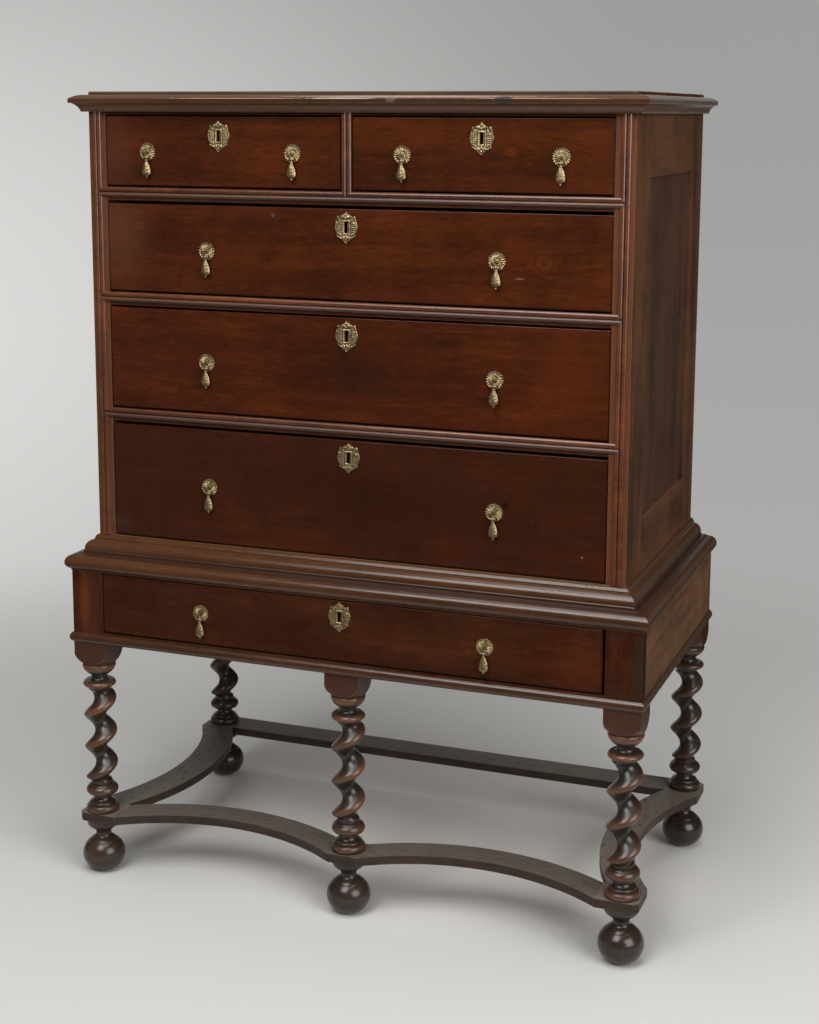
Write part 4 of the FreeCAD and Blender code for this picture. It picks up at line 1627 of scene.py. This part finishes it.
    def relief(self, x: float, z: float, out: float) -> float:
        """How far the plate's face stands at a point.

        Args:
            x: the point's place across.
            z: its place up.
            out: how far it is from the keyhole to the plate's edge, from 0 to 1.

        Returns:
            The height over the drawer's front.
        """
        wide, high = self.frame
        off = max(abs(x) - wide, abs(z) - high)
        past = off - self.frame_wide
        frame = math.exp(-(off / self.frame_wide) ** 4) * self.frame_high
        recess = -self.recess if off < -self.frame_wide else 0.0
        beyond = min(1.0, max(0.0, past / 2.0)) * min(1.0, (1 - out) * 6)
        swell = self.swell * math.sin(math.pi * min(1.0, max(0.0, past / self.swell_wide)))
        rim = self.rim * math.exp(-((out - self.rim_at) / self.rim_wide) ** 2)
        fall = -self.fall * max(0.0, (out - self.fall_from) / (1 - self.fall_from))
        nail = math.hypot(abs(x) - self.nails[0], z - self.nails[1]) / self.nail_radius
        pit = -self.nail_deep * math.exp(-nail ** 4)
        ground = self.thick + frame + recess + beyond * (self.ornament(x, z) + swell)
        return max(self.least, ground + rim + fall + pit)

    def mesh(self, place: Vector) -> bpy.types.Mesh:
        """The plate on a drawer's front.

        Args:
            place: the middle of its keyhole.

        Returns:
            Its mesh.
        """
        stations = self.stations()
        rings = [[Vector((x, 0.0, z)) * MM for (x, z), _ in stations]]
        for i in range(self.rings + 1):
            out = (i / self.rings) ** self.crowd
            ring = []
            for (kx, kz), (ex, ez) in stations:
                x, z = kx + (ex - kx) * out, kz + (ez - kz) * out
                ring.append(Vector((x, -self.relief(x, z, out), z)) * MM)
            rings.append(ring)
        rings.append([Vector((x, 0.0, z)) * MM for _, (x, z) in stations])
        rings.append(rings[0])
        bm = skin(rings)
        bmesh.ops.remove_doubles(bm, verts=bm.verts, dist=SAME)
        return cast(bm, Matrix.Translation(place), 60)


@dataclass
class Lock:
    """The case of a drawer lock with its cover, rivets and the slot that its bolt runs in.

    Sizes are in millimetres.

    Attributes:
        half: half the width of the case.
        high: its height.
        thick: its thickness, with its cover.
        slot_half: half the width of the slot.
        slot_high: the height of the slot.
        cover: the thickness of the cover.
        bevel: the width of the cover's bevels.
        rivets: the places of the rivets, across and up.
        rivet: the profile of a rivet's head.
    """

    half: float = 32.0
    high: float = 46.0
    thick: float = 10.0
    slot_half: float = 9.3
    slot_high: float = 30.3
    cover: float = 1.6
    bevel: float = 0.3
    rivets: tuple[Point2, ...] = ((-26.0, -6.0), (26.0, -6.0), (-26.0, -40.0), (26.0, -40.0))
    rivet: tuple[Point2, ...] = ((0.0, 0.0), (2.6, 0.0), (2.5, 0.5), (1.6, 1.1), (0.0, 1.3))

    def case(self) -> bpy.types.Mesh:
        """The case without its cover.

        Returns:
            Its mesh, with the middle of its top edge at the origin.
        """
        half, slot = self.half, self.slot_half
        outline = [(-half, -self.high), (half, -self.high), (half, 0.0), (slot, 0.0),
                   (slot, -self.slot_high), (-slot, -self.slot_high), (-slot, 0.0), (-half, 0.0)]
        bm = bmesh.new()
        face = bm.faces.new([bm.verts.new(Vector((x, 0.0, z)) * MM) for x, z in outline])
        wall = bmesh.ops.extrude_face_region(bm, geom=[face])
        moved = [v for v in wall["geom"] if isinstance(v, bmesh.types.BMVert)]
        bmesh.ops.translate(bm, verts=moved, vec=Vector((0, (self.thick - self.cover) * MM, 0)))
        return cast(bm)

    def lid(self) -> bpy.types.Mesh:
        """The cover of the case, in the same frame.

        Returns:
            Its mesh.
        """
        bm = bmesh.new()
        bmesh.ops.create_cube(bm, size=1.0)
        middle = Vector((0, self.thick - self.cover / 2, -self.high / 2)) * MM
        size = Matrix.Diagonal((2 * self.half * MM, self.cover * MM, self.high * MM, 1.0))
        bmesh.ops.transform(bm, matrix=Matrix.Translation(middle) @ size, verts=bm.verts)
        bmesh.ops.bevel(bm, geom=bm.edges, offset=self.bevel * MM, segments=1, affect="EDGES")
        return cast(bm)

    def mesh(self, place: Vector) -> bpy.types.Mesh:
        """The whole lock case.

        Args:
            place: the middle of its top edge, on the back of the drawer's front.

        Returns:
            Its mesh.
        """
        meshes = [self.case(), self.lid()]
        for x, z in self.rivets:
            spot = Matrix.Translation(Vector((x, self.thick, z)) * MM)
            meshes.append(cast(lathe(self.rivet, 16), spot @ Matrix.Rotation(-math.pi / 2, 4, "X")))
        return cast(joined(meshes), Matrix.Translation(place), 30, outward=False)


@dataclass
class DrawerBrasses:
    """The brasses of one drawer: rosettes, key plate, lock and drops.

    Attributes:
        name: the drawer's name.
        key_below_top: how far the keyhole's middle is under the top of the drawer's opening, in millimetres.
        rosette: the pattern of its rosettes.
        drop: the pattern of its drops.
    """

    name: str
    key_below_top: float
    rosette: Rosette = field(default_factory=Rosette)
    drop: Drop = field(default_factory=Drop)

    def build(self, tree: Tree, brass: bpy.types.Material) -> None:
        """Makes all of this drawer's cast pieces.

        Args:
            tree: the rosettes' tree.
            brass: the brass.
        """
        drawer = self.name + "_drawer"
        front_low, front_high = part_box(drawer + "_front")
        bolt_low, bolt_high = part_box(drawer + "_bolt")
        y = front_low.y
        plates = []
        for side in ("left", "right"):
            node = "%s_%s_drop" % (drawer, side)
            low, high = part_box(node)
            pivot = Vector(((low.x + high.x) / 2, y - self.rosette.pivot_out * MM,
                            high.z - self.drop.eye * MM))
            piece(node + "_cast", self.drop.mesh(pivot), node, "old_brass", node, material=brass)
            middle = Vector((pivot.x, y, pivot.z + self.rosette.pivot_down * MM))
            plates.append(self.rosette.mesh(tree, middle))
        piece(drawer + "_rosettes", cast(joined(plates), sharp=60, outward=False), drawer, "old_brass",
              drawer + "_brasses", material=brass)
        key_x = (bolt_low.x + bolt_high.x) / 2
        key = Vector((key_x, y, front_high.z - self.key_below_top * MM))
        piece(drawer + "_key_plate", Escutcheon().mesh(key), drawer, "old_brass", drawer + "_brasses",
              material=brass)
        lock_top = Vector((key_x, front_high.y, bolt_high.z))
        piece(drawer + "_lock_case", Lock().mesh(lock_top), drawer, "lock_steel", drawer + "_brasses",
              material=Iron("%s_lock_iron" % drawer, rusted=0.6).build())


# ------------------------------------------------------------------ nails
@dataclass
class BackNails:
    """Hand-made nails in the back boards.

    Sizes are in millimetres.

    Attributes:
        boards: how many boards there are.
        edge: how far the nails are from the boards' ends.
        row_edge: how far each row is from the edge of its board.
        head: the radius of a head.
        facets: how many hammered facets it has.
        flat: its flat top against its radius.
        high: its height against its radius.
        spread: the smallest and the largest head against the plain one.
        seed: the seed of the turns and sizes.
    """

    boards: int = 4
    edge: float = 11.0
    row_edge: float = 45.0
    head: float = 4.2
    facets: int = 7
    flat: float = 0.35
    high: float = 0.4
    spread: tuple[float, float] = (0.8, 1.15)
    seed: int = 7

    def tree(self, material: bpy.types.Material) -> Tree:
        """The tree that sets a hammered head on every point.

        Args:
            material: the iron.

        Returns:
            The tree.
        """
        t = Tree("nails")
        radius, seed = t.size("Head"), t.size("Seed")
        head = t.node("GeometryNodeMeshCone", {"fill_type": "NGON"},
                      {"Vertices": self.facets, "Side Segments": 1, "Radius Top": radius * self.flat,
                       "Radius Bottom": radius, "Depth": radius * self.high})
        turn = t.node("FunctionNodeRandomValue", {"data_type": "FLOAT"},
                      {2: 0.0, 3: 2 * math.pi, "Seed": seed})
        small, large = self.spread
        grow = t.node("FunctionNodeRandomValue", {"data_type": "FLOAT"},
                      {2: small, 3: large, "Seed": seed + 1})
        spin = t.vector(math.pi / -2, Value(t, turn.outputs[1]), 0.0)
        t.geometry = t.node("GeometryNodeInstanceOnPoints", inputs={
            "Points": t.geometry, "Instance": head.outputs[0], "Rotation": spin,
            "Scale": grow.outputs[1]}).outputs[0]
        t.close(material)
        return t

    def build(self, material: bpy.types.Material) -> None:
        """Sets the nails along both ends of every back board.

        Args:
            material: the iron.
        """
        low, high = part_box("case_back")
        step = (high.z - low.z) / self.boards
        places = []
        for board in range(self.boards):
            for row in (self.row_edge * MM, step - self.row_edge * MM):
                for x in (low.x + self.edge * MM, high.x - self.edge * MM):
                    places.append(Vector((x, high.y, low.z + board * step + row)))
        points = bpy.data.meshes.new("nail_places")
        points.from_pydata(places, [], [])
        mesh = self.tree(material).grow(points, {"Head": self.head * MM, "Seed": self.seed})
        piece("back_nails", mesh, "carcase", "lock_steel")


# ------------------------------------------------------------------ studio
@dataclass(frozen=True)
class Lamp:
    """One soft square lamp.

    Attributes:
        name: its name.
        place: where it stands.
        aim: the point that it faces.
        size: its side.
        power: its power in watts.
    """

    name: str
    place: tuple[float, float, float]
    aim: tuple[float, float, float]
    size: float
    power: float

    def build(self) -> None:
        """Adds the lamp."""
        data = bpy.data.lights.new(self.name, "AREA")
        data.size = self.size
        data.energy = self.power
        lamp = bpy.data.objects.new(self.name, data)
        bpy.context.scene.collection.objects.link(lamp)
        lamp.location = self.place
        lamp.rotation_euler = (Vector(self.aim) - Vector(self.place)).to_track_quat("-Z", "Y").to_euler()
        lamp.visible_camera = False


@dataclass
class Studio:
    """Floor, surroundings, lamps and camera.

    Attributes:
        eye: the camera's place.
        yaw: how far the camera is turned from +Y towards -X, in degrees.
        pitch: how far it looks down, in degrees.
        roll: its tilt, in degrees.
        focal: focal length in frame heights.
        rise: how far the frame is shifted, in frame heights.
        sensor: the size of the sensor, in millimetres.
        lamps: a main lamp high in front, one overhead, a large one on the right.
        backdrop: the colour of the backdrop below and above.
        glow: its colour at its lightest, on the left.
        ambient: the colour of the light from all round.
        mirrored: the dark studio and its one pale side, as polish and metal show them.
        floor_radius: the radius of the floor.
        floor_tones: the colour of the floor at the front and at the back.
        painted_light_under_chest: its paler colour under the chest, painted light that lifts the shadow of
            the chest.
        floor_fade: where the floor starts and ends to melt into its surroundings.
        mirror_fade: the same as seen in polish and metal.
    """

    eye: tuple[float, float, float] = (1.1187, -2.8972, 1.4164)
    yaw: float = 20.748
    pitch: float = 9.555
    roll: float = 0.200
    focal: float = 1705.94 / 1024
    rise: float = -112 / 1024
    sensor: float = 36.0
    lamps: tuple[Lamp, ...] = (
        Lamp("key", (-0.4, -2.7, 3.3), (0.0, 0.0, 0.8), 1.9, 90.0),
        Lamp("top", (0.35, -0.6, 3.8), (0.0, 0.0, 0.5), 2.2, 76.0),
        Lamp("right", (3.4, -1.9, 2.0), (0.0, 0.0, 0.8), 2.6, 115.0))
    backdrop: tuple[Colour, Colour] = (ink(171, 171, 169), ink(158, 158, 156))
    glow: Colour = ink(222, 221, 219)
    ambient: Colour = ink(128, 126, 124)
    mirrored: tuple[Colour, Colour] = (ink(24, 23, 22), ink(150, 148, 146))
    floor_radius: float = 3.2
    floor_tones: tuple[Colour, Colour] = (ink(190, 189, 187), ink(195, 194, 192))
    painted_light_under_chest: Colour = ink(218, 216, 213)
    floor_fade: tuple[float, float] = (1.0, 2.6)
    mirror_fade: tuple[float, float] = (0.75, 1.4)

    def camera(self) -> None:
        """Makes the camera and sets it as the scene's own."""
        yaw, pitch, roll = (math.radians(v) for v in (-self.yaw, -self.pitch, self.roll))
        ahead = Vector((math.sin(yaw) * math.cos(pitch), math.cos(yaw) * math.cos(pitch), math.sin(pitch)))
        right = Vector((math.cos(yaw), -math.sin(yaw), 0.0))
        up = right.cross(ahead)
        right, up = (math.cos(roll) * right + math.sin(roll) * up,
                     math.cos(roll) * up - math.sin(roll) * right)
        data = bpy.data.cameras.new("camera")
        data.sensor_width = self.sensor
        data.lens = self.focal * self.sensor
        data.shift_y = self.rise
        camera = bpy.data.objects.new("camera", data)
        bpy.context.scene.collection.objects.link(camera)
        turn = Matrix((right, up, -ahead)).transposed().to_4x4()
        camera.matrix_world = Matrix.Translation(Vector(self.eye)) @ turn
        bpy.context.scene.camera = camera

    def world(self) -> None:
        """A pale backdrop, lighter on the left; behind the camera the studio is dark."""
        world = bpy.data.worlds.new("world")
        bpy.context.scene.world = world
        world.use_nodes = True
        n = Nodes(world.node_tree)
        x, y, z = n.parts(n.node("ShaderNodeTexCoord").outputs["Generated"])
        left, high = (x + 0.64) / 0.42, (z + 0.12) / 0.34
        glow = (left * left + high * high).root().rise(1.1, 0.0)
        pale = n.mix(glow, n.mix(z.rise(-0.30, 0.08), *self.backdrop), self.glow)
        rays = n.node("ShaderNodeLightPath").outputs
        mirrored = (Value(n, rays["Is Glossy Ray"]) + Value(n, rays["Is Transmission Ray"])).least(1.0)
        behind = y.rise(0.1, 0.6) * x.rise(0.06, -0.14)
        seen = (mirrored * behind + Value(n, rays["Is Camera Ray"])).least(1.0)
        pale_side = x.rise(-0.40, -0.72) * y.rise(0.0, -0.3) * abs(z).rise(0.6, 0.2)
        around = n.mix(mirrored, self.ambient, n.mix(pale_side, *self.mirrored))
        background = world.node_tree.nodes["Background"]
        n.plug(n.mix(seen, around, pale), background.inputs["Color"])
        background.inputs["Strength"].default_value = 1.0

    def floor(self) -> None:
        """A round pale floor that melts into the backdrop, painted paler under the chest to lift the shadow
        there.
        """
        bm = bmesh.new()
        bmesh.ops.create_circle(bm, cap_ends=True, segments=96, radius=self.floor_radius)
        mesh = bpy.data.meshes.new("floor")
        bm.to_mesh(mesh)
        bm.free()
        floor = bpy.data.objects.new("floor", mesh)
        bpy.context.scene.collection.objects.link(floor)
        s = Shader("pale_floor")
        x, y, _ = s.axes
        # Painted light: the floor is paler in an oval under the chest, where the chest casts its shadow.
        sideways, ahead = x / 0.62, (y - 0.12) / 0.42
        middle = (sideways * sideways + ahead * ahead).root().rise(1.15, 0.55)
        tone = s.mix((y - x * 0.387).rise(-0.85, 0.35), *self.floor_tones)
        s.finish(Base_Color=s.mix(middle, tone, self.painted_light_under_chest), Roughness=0.8, Specular_IOR_Level=0.1)
        away = (x * x + y * y).root()
        mirrored = Value(s, s.node("ShaderNodeLightPath").outputs["Is Glossy Ray"])
        gone = away.rise(*self.floor_fade) * (1 - mirrored) + away.rise(*self.mirror_fade) * mirrored
        clear = s.node("ShaderNodeBsdfTransparent")
        both = s.node("ShaderNodeMixShader", inputs={0: gone, 1: s.surface.outputs[0], 2: clear.outputs[0]})
        s.tree.links.new(both.outputs[0], s.output.inputs[0])
        mesh.materials.append(s.material)

    def build(self) -> None:
        """Makes the whole studio."""
        self.camera()
        for lamp in self.lamps:
            lamp.build()
        self.world()
        self.floor()


# ------------------------------------------------------------------ the chest
@dataclass
class Chest:
    """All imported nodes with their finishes, and the pieces made here.

    Attributes:
        nodes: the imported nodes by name.
        drawers: the brasses of the drawers.
        legs: the turned legs.
        box_side: the thickness of a drawer box's sides, in metres.
        opening: the depths and heights of the sunk panel in a side frame, in metres.
    """

    nodes: Mapping[str, bpy.types.Object]
    drawers: tuple[DrawerBrasses, ...] = (
        DrawerBrasses("top_left", 33.4), DrawerBrasses("top_right", 33.4), DrawerBrasses("second", 31.4),
        DrawerBrasses("third", 31.8), DrawerBrasses("fourth", 30.4), DrawerBrasses("stand", 29.0))
    legs: TwistLegs = field(default_factory=lambda: TwistLegs({
        "leg_front_left": -116.0, "leg_front_middle": -136.0, "leg_front_right": -106.0,
        "leg_rear_left": -116.0, "leg_rear_right": -98.0}))
    box_side: float = 11.0 * MM
    opening: tuple[float, float, float, float] = (-0.141, 0.194, 0.747, 1.314)

    def boards(self) -> Mapping[str, Any]:
        """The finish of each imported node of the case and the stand.

        Returns:
            The finishes by node.
        """
        forward, right, up = (0.0, -1.0, 0.0), (1.0, 0.0, 0.0), (0.0, 0.0, 1.0)
        side = {"body": ink(92, 61, 42), "deep": ink(58, 40, 29), "warm": ink(108, 74, 51),
                "worn": ink(140, 104, 78), "polish": 0.42, "sheen": 0.22, "figure": 1.0}
        panel = {"body": ink(77, 54, 41), "deep": ink(52, 38, 30), "warm": ink(90, 63, 47),
                 "worn": ink(120, 88, 66), "polish": 0.42, "sheen": 0.22, "figure": 0.8}
        # Stretchers: their up-facing tops are painted pale grey, dust with a painted sheen; the side and rear
        # ones are paler still.
        flat = {"body": ink(52, 38, 30), "deep": ink(36, 28, 23), "warm": ink(70, 48, 36),
                "worn": ink(98, 76, 62), "polish": 0.46, "sheen": 0.3, "figure": 1.5,
                "facings": (Facing(up, ink(100, 91, 82), 0.75),)}
        dust_and_sheen_tops = {**flat, "facings": (Facing(up, ink(112, 103, 94), 0.85),)}
        moulded = {"body": ink(74, 45, 26), "deep": ink(46, 28, 18), "warm": ink(92, 57, 31),
                   "worn": ink(122, 82, 48), "polish": 0.18, "sheen": 0.46, "dirt_and_shade": 0.9, "wear": 0.45,
                   "figure": 0.7}
        # Painted shade on the down-facing faces of the mouldings.
        under = Facing((0.0, 0.0, -1.0), ink(62, 36, 21), 0.8)
        # The cornice's right-facing faces are painted pale grey, a painted reflection of the pale
        # surroundings, with painted shade beneath.
        side_sheen_and_underside_shade = (Facing(right, ink(122, 110, 101), 0.95), under)
        # The right-facing faces of the waist moulding and the lower bead are painted greyer, a painted grey
        # sheen, with painted shade beneath.
        dull = (Facing(right, ink(74, 61, 52), 0.8), under)
        return {
            "top_board": Walnut("top_walnut", Grain.WIDTH, seed=2.0, polish=0.4, body=ink(80, 56, 40)),
            "cornice_moulding": Walnut("cornice_walnut", mitre=0.2480, seed=3.0, facings=side_sheen_and_underside_shade, marks=(
                # Bands along the cornice paint its light and shade: a painted shade band and a painted dark
                # line on the nose, a painted grey sheen on the cove that is paler at the left end, a darker
                # slope at the left end where the highlight fades, and painted highlights along the top of the
                # nose and on the slope. The pale spot at x 0.0885 is a chip; the dark spot at 0.2815 is a
                # blemish.
                Mark(0.0, 1.4352, 90.0, 0.0030, ink(44, 31, 23), 0.45),
                Mark(0.13, 1.4366, 0.27, 0.0020, ink(42, 36, 33), 0.8, 0.3),
                Mark(0.0, 1.4245, 90.0, 0.0068, ink(94, 70, 56), 0.8),
                Mark(-0.42, 1.4385, 0.14, 0.0060, ink(66, 45, 32), 0.6, 1.0),
                Mark(-0.42, 1.4245, 0.16, 0.0060, ink(108, 82, 68), 0.6, 1.0),
                Mark(-0.20, 1.4396, 0.13, 0.0008, ink(150, 118, 96), 0.7, 0.4),
                Mark(0.000, 1.4396, 0.060, 0.0010, ink(172, 150, 134), 0.8, 0.4),
                Mark(0.34, 1.4396, 0.12, 0.0008, ink(150, 118, 96), 0.7, 0.4),
                Mark(0.12, 1.4425, 0.26, 0.0022, ink(158, 132, 118), 0.65, 0.8),
                Mark(0.0885, 1.4380, 0.0085, 0.0044, ink(86, 81, 79), 0.85, 0.4),
                Mark(0.2815, 1.4365, 0.019, 0.0070, ink(40, 39, 35), 0.9, 0.5)), **moulded),
            **{hand + "_side_frame": Walnut(
                hand + "_frame_walnut", Grain.HEIGHT, seed=seed, frame=self.opening,
                facings=(Facing(forward, front, 0.85, -0.240),), **side)
               for hand, seed, front in (("right", 4.0, ink(94, 50, 26)), ("left", 5.0, ink(84, 48, 29)))},
            "side_panels": Walnut("panel_walnut", Grain.HEIGHT, seed=6.0, **panel),
            "case_rails": Walnut("rail_walnut", seed=7.0, body=ink(50, 33, 25), wear=0.3),
            "case_beads": Walnut("bead_walnut", seed=8.0, polish=0.20, sheen=0.62, wear=0.3, dirt_and_shade=0.45,
                                 body=ink(94, 52, 30), deep=ink(58, 32, 21), warm=ink(112, 62, 34),
                                 worn=ink(130, 78, 42), marks=tuple(
                # Painted shade on the lower arch of each rail's bead, made duller as well.
                Mark(0.0, foot + 0.0043, 0.7, 0.0042, ink(62, 38, 27), 0.8, 0.3, 0.24)
                for foot in (1.268, 1.082, 0.872))),
            "waist_moulding": Walnut("waist_walnut", mitre=0.2530, seed=9.0, facings=dull, marks=(
                # Painted shade in the recess of the ledge, made duller as well.
                Mark(0.0, 0.6215, 4.0, 0.0048, ink(40, 23, 15), 0.7, 0.3, 0.2),), **moulded),
            "stand_front": Walnut("stand_walnut", Grain.HEIGHT, seed=10.0, body=ink(62, 34, 22),
                                  warm=ink(82, 40, 24), wear=0.15, figure=1.5, marks=(
                Mark(0.531, 0.520, 0.022, 0.090, ink(44, 37, 30), 0.7, 1.0),
                Mark(0.484, 0.540, 0.006, 0.040, ink(88, 38, 24), 0.2, 0.9),
                Mark(-0.508, 0.530, 0.016, 0.080, ink(100, 54, 29), 0.6, 1.0))),
            "stand_sides": Walnut("apron_walnut", frame=(-0.300, 0.268, 2.0, 2.1), seed=11.0, polish=0.42,
                                  sheen=0.22, body=ink(106, 75, 55), deep=ink(70, 50, 38),
                                  warm=ink(122, 86, 60)),
            "stand_bead": Walnut("lower_bead_walnut", mitre=0.2530, seed=12.0, facings=dull,
                                 **{**moulded, "body": ink(68, 42, 27), "worn": ink(110, 78, 56)}),
            "front_stretchers": Walnut("front_stretcher_walnut", Grain.WIDTH, seed=13.0, **flat),
            "side_stretchers": Walnut("side_stretcher_walnut", Grain.DEPTH, seed=14.0, **dust_and_sheen_tops),
            "rear_stretcher": Walnut("rear_stretcher_walnut", Grain.WIDTH, seed=15.0, **dust_and_sheen_tops),
            "ball_feet": Walnut("foot_walnut", Grain.HEIGHT, seed=16.0, body=ink(47, 37, 31),
                                deep=ink(36, 29, 24), warm=ink(64, 46, 35), worn=ink(86, 60, 44),
                                sheen=0.45, polish=0.20, figure=1.4),
            "case_runners": Pine("runner_pine", Grain.DEPTH, seed=1.0),
            "case_bottom": Pine("bottom_pine", Grain.WIDTH, seed=2.0),
            "case_back": Pine("back_pine", Grain.WIDTH, seed=3.0),
            "stand_runners": Pine("stand_runner_pine", Grain.DEPTH, seed=4.0),
        }

    def front(self, name: str, seed: float, marks: tuple[Mark, ...] = (), **colours: Colour) -> Walnut:
        """The finish of one drawer front, with the shadow of its gap painted as a dark outline along its
        edges.
        """
        low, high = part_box(name + "_drawer_front")
        return Walnut(name + "_walnut", seed=seed, marks=marks, rim=(low.x, high.x, low.z), figure=1.4,
                      **colours)

    def fronts(self) -> Mapping[str, Walnut]:
        """The finish of each drawer front.

        Returns:
            The finishes by drawer.
        """
        # The grey below is a painted reflection at the left end of a front; the rust is a knot's colour, and
        # at the right ends of the third and stand drawers it is painted light.
        shade, painted_veil_grey, rust = ink(40, 20, 12), ink(62, 44, 34), ink(94, 40, 16)
        return {
            "top_left": self.front("top_left", 31.0, (
                # Painted grey reflection at the left end.
                Mark(-0.455, 1.345, 0.070, 0.090, painted_veil_grey, 0.45, 1.1),)),
            "top_right": self.front("top_right", 35.5, (
                Mark(0.292, 1.355, 0.034, 0.016, shade, 0.35, 0.9),
                Mark(0.287, 1.355, 0.012, 0.009, rust, 0.5))),
            "second": self.front("second", 39.2, (
                # Painted grey reflection at the left end.
                Mark(-0.440, 1.200, 0.080, 0.100, ink(92, 58, 38), 0.45, 1.1),
                Mark(-0.180, 1.222, 0.070, 0.030, shade, 0.35, 1.1),
                Mark(0.3455, 1.178, 0.030, 0.020, rust, 0.35, 0.8),
                Mark(0.3455, 1.178, 0.018, 0.016, shade, 0.45, 0.4),
                Mark(0.3455, 1.178, 0.014, 0.012, ink(96, 45, 22), 0.55, 0.5),
                Mark(0.3455, 1.178, 0.010, 0.009, shade, 0.5, 0.6),
                Mark(0.3055, 1.1505, 0.009, 0.0012, ink(112, 90, 76), 0.6),
                Mark(-0.1365, 1.2436, 0.0035, 0.0045, ink(66, 62, 64), 0.8),
                Mark(-0.1468, 1.1664, 0.012, 0.007, shade, 0.6, 0.9),
                Mark(-0.3015, 1.1510, 0.012, 0.006, shade, 0.4, 0.9))),
            "third": self.front("third", 42.9, (
                Mark(0.020, 0.985, 0.200, 0.080, shade, 0.55, 1.1),
                Mark(0.168, 1.040, 0.055, 0.016, shade, 0.5, 1.0),
                Mark(-0.125, 1.046, 0.060, 0.012, shade, 0.5, 1.0),
                Mark(-0.2296, 1.0132, 0.0045, 0.0055, shade, 0.9),
                Mark(0.246, 0.949, 0.016, 0.0025, shade, 0.7, 0.8),
                Mark(0.2877, 0.9483, 0.012, 0.0020, shade, 0.6, 0.8),
                # Painted light: a warmer, lighter right end.
                Mark(0.400, 0.990, 0.090, 0.080, rust, 0.30, 1.1)),
                body=ink(64, 28, 13)),
            "fourth": self.front("fourth", 46.6, (
                Mark(0.020, 0.760, 0.260, 0.100, shade, 0.50, 1.1),
                Mark(0.2850, 0.7705, 0.008, 0.009, ink(30, 16, 12), 0.8, 0.8),
                Mark(-0.080, 0.715, 0.050, 0.010, ink(32, 18, 13), 0.45, 1.0),
                Mark(0.0825, 0.8108, 0.010, 0.005, shade, 0.6, 0.9),
                Mark(-0.2401, 0.8504, 0.010, 0.006, ink(30, 20, 18), 0.7, 0.9),
                Mark(0.1158, 0.6877, 0.050, 0.018, shade, 0.45, 1.0),
                Mark(0.4188, 0.6943, 0.0018, 0.0018, ink(132, 118, 110), 0.6),
                Mark(-0.4466, 0.6778, 0.030, 0.020, ink(56, 44, 36), 0.5, 1.0)),
                body=ink(54, 26, 15), warm=ink(70, 33, 17)),
            "stand": self.front("stand", 50.3, (
                Mark(-0.100, 0.520, 0.180, 0.060, shade, 0.40, 1.1),
                Mark(-0.1621, 0.5703, 0.010, 0.004, ink(30, 20, 16), 0.5, 0.9),
                # Painted light: a warmer, lighter right end.
                Mark(0.430, 0.520, 0.080, 0.060, rust, 0.25, 1.1)),
                body=ink(57, 29, 17), warm=ink(80, 40, 21)),
        }

    def build(self) -> None:
        """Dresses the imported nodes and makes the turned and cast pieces."""
        for name, finish in self.boards().items():
            dress(self.nodes[name], finish.build())
        for name, finish in self.fronts().items():
            dress(self.nodes[name + "_drawer_front"], finish.build())
            low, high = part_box(name + "_drawer_box")
            ends = (low.x + self.box_side, high.x - self.box_side)
            dress(self.nodes[name + "_drawer_box"],
                  Pine("%s_box_pine" % name, Grain.WIDTH, ends=ends, seed=finish.seed / 5).build())
        steel = Iron().build()
        brass = OldBrass().build()
        tree = Rosette().tree(brass)
        for drawer in self.drawers:
            dress(self.nodes[drawer.name + "_drawer_bolt"], steel)
            drawer.build(tree, brass)
        turned = Walnut("turned_walnut", Grain.HEIGHT, seed=20.0, turned=True, body=ink(56, 41, 31),
                        deep=ink(40, 31, 25), warm=ink(76, 52, 36), worn=ink(120, 74, 46),
                        grime=ink(34, 29, 24), wear=0.65, polish=0.26, sheen=0.5, figure=1.4, marks=(
                            # The first band gives the square blocks their own colour; the second darkens the
                            # lower rings of the legs.
                            Mark(0.0, 0.434, 90.0, 0.024, ink(70, 39, 25), 0.7, 0.3),
                            Mark(0.0, 0.150, 90.0, 0.060, ink(44, 32, 26), 0.5, 0.5)))
        self.legs.build(turned.build())
        BackNails().build(Iron("nail_iron", rusted=0.95).build())


def main() -> None:
    """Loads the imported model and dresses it."""
    logging.basicConfig(level=logging.INFO)
    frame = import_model()
    bpy.context.scene.view_settings.view_transform = "Standard"
    Chest(frame["nodes"]).build()
    Studio().build()


if __name__ == "__main__":
    main()
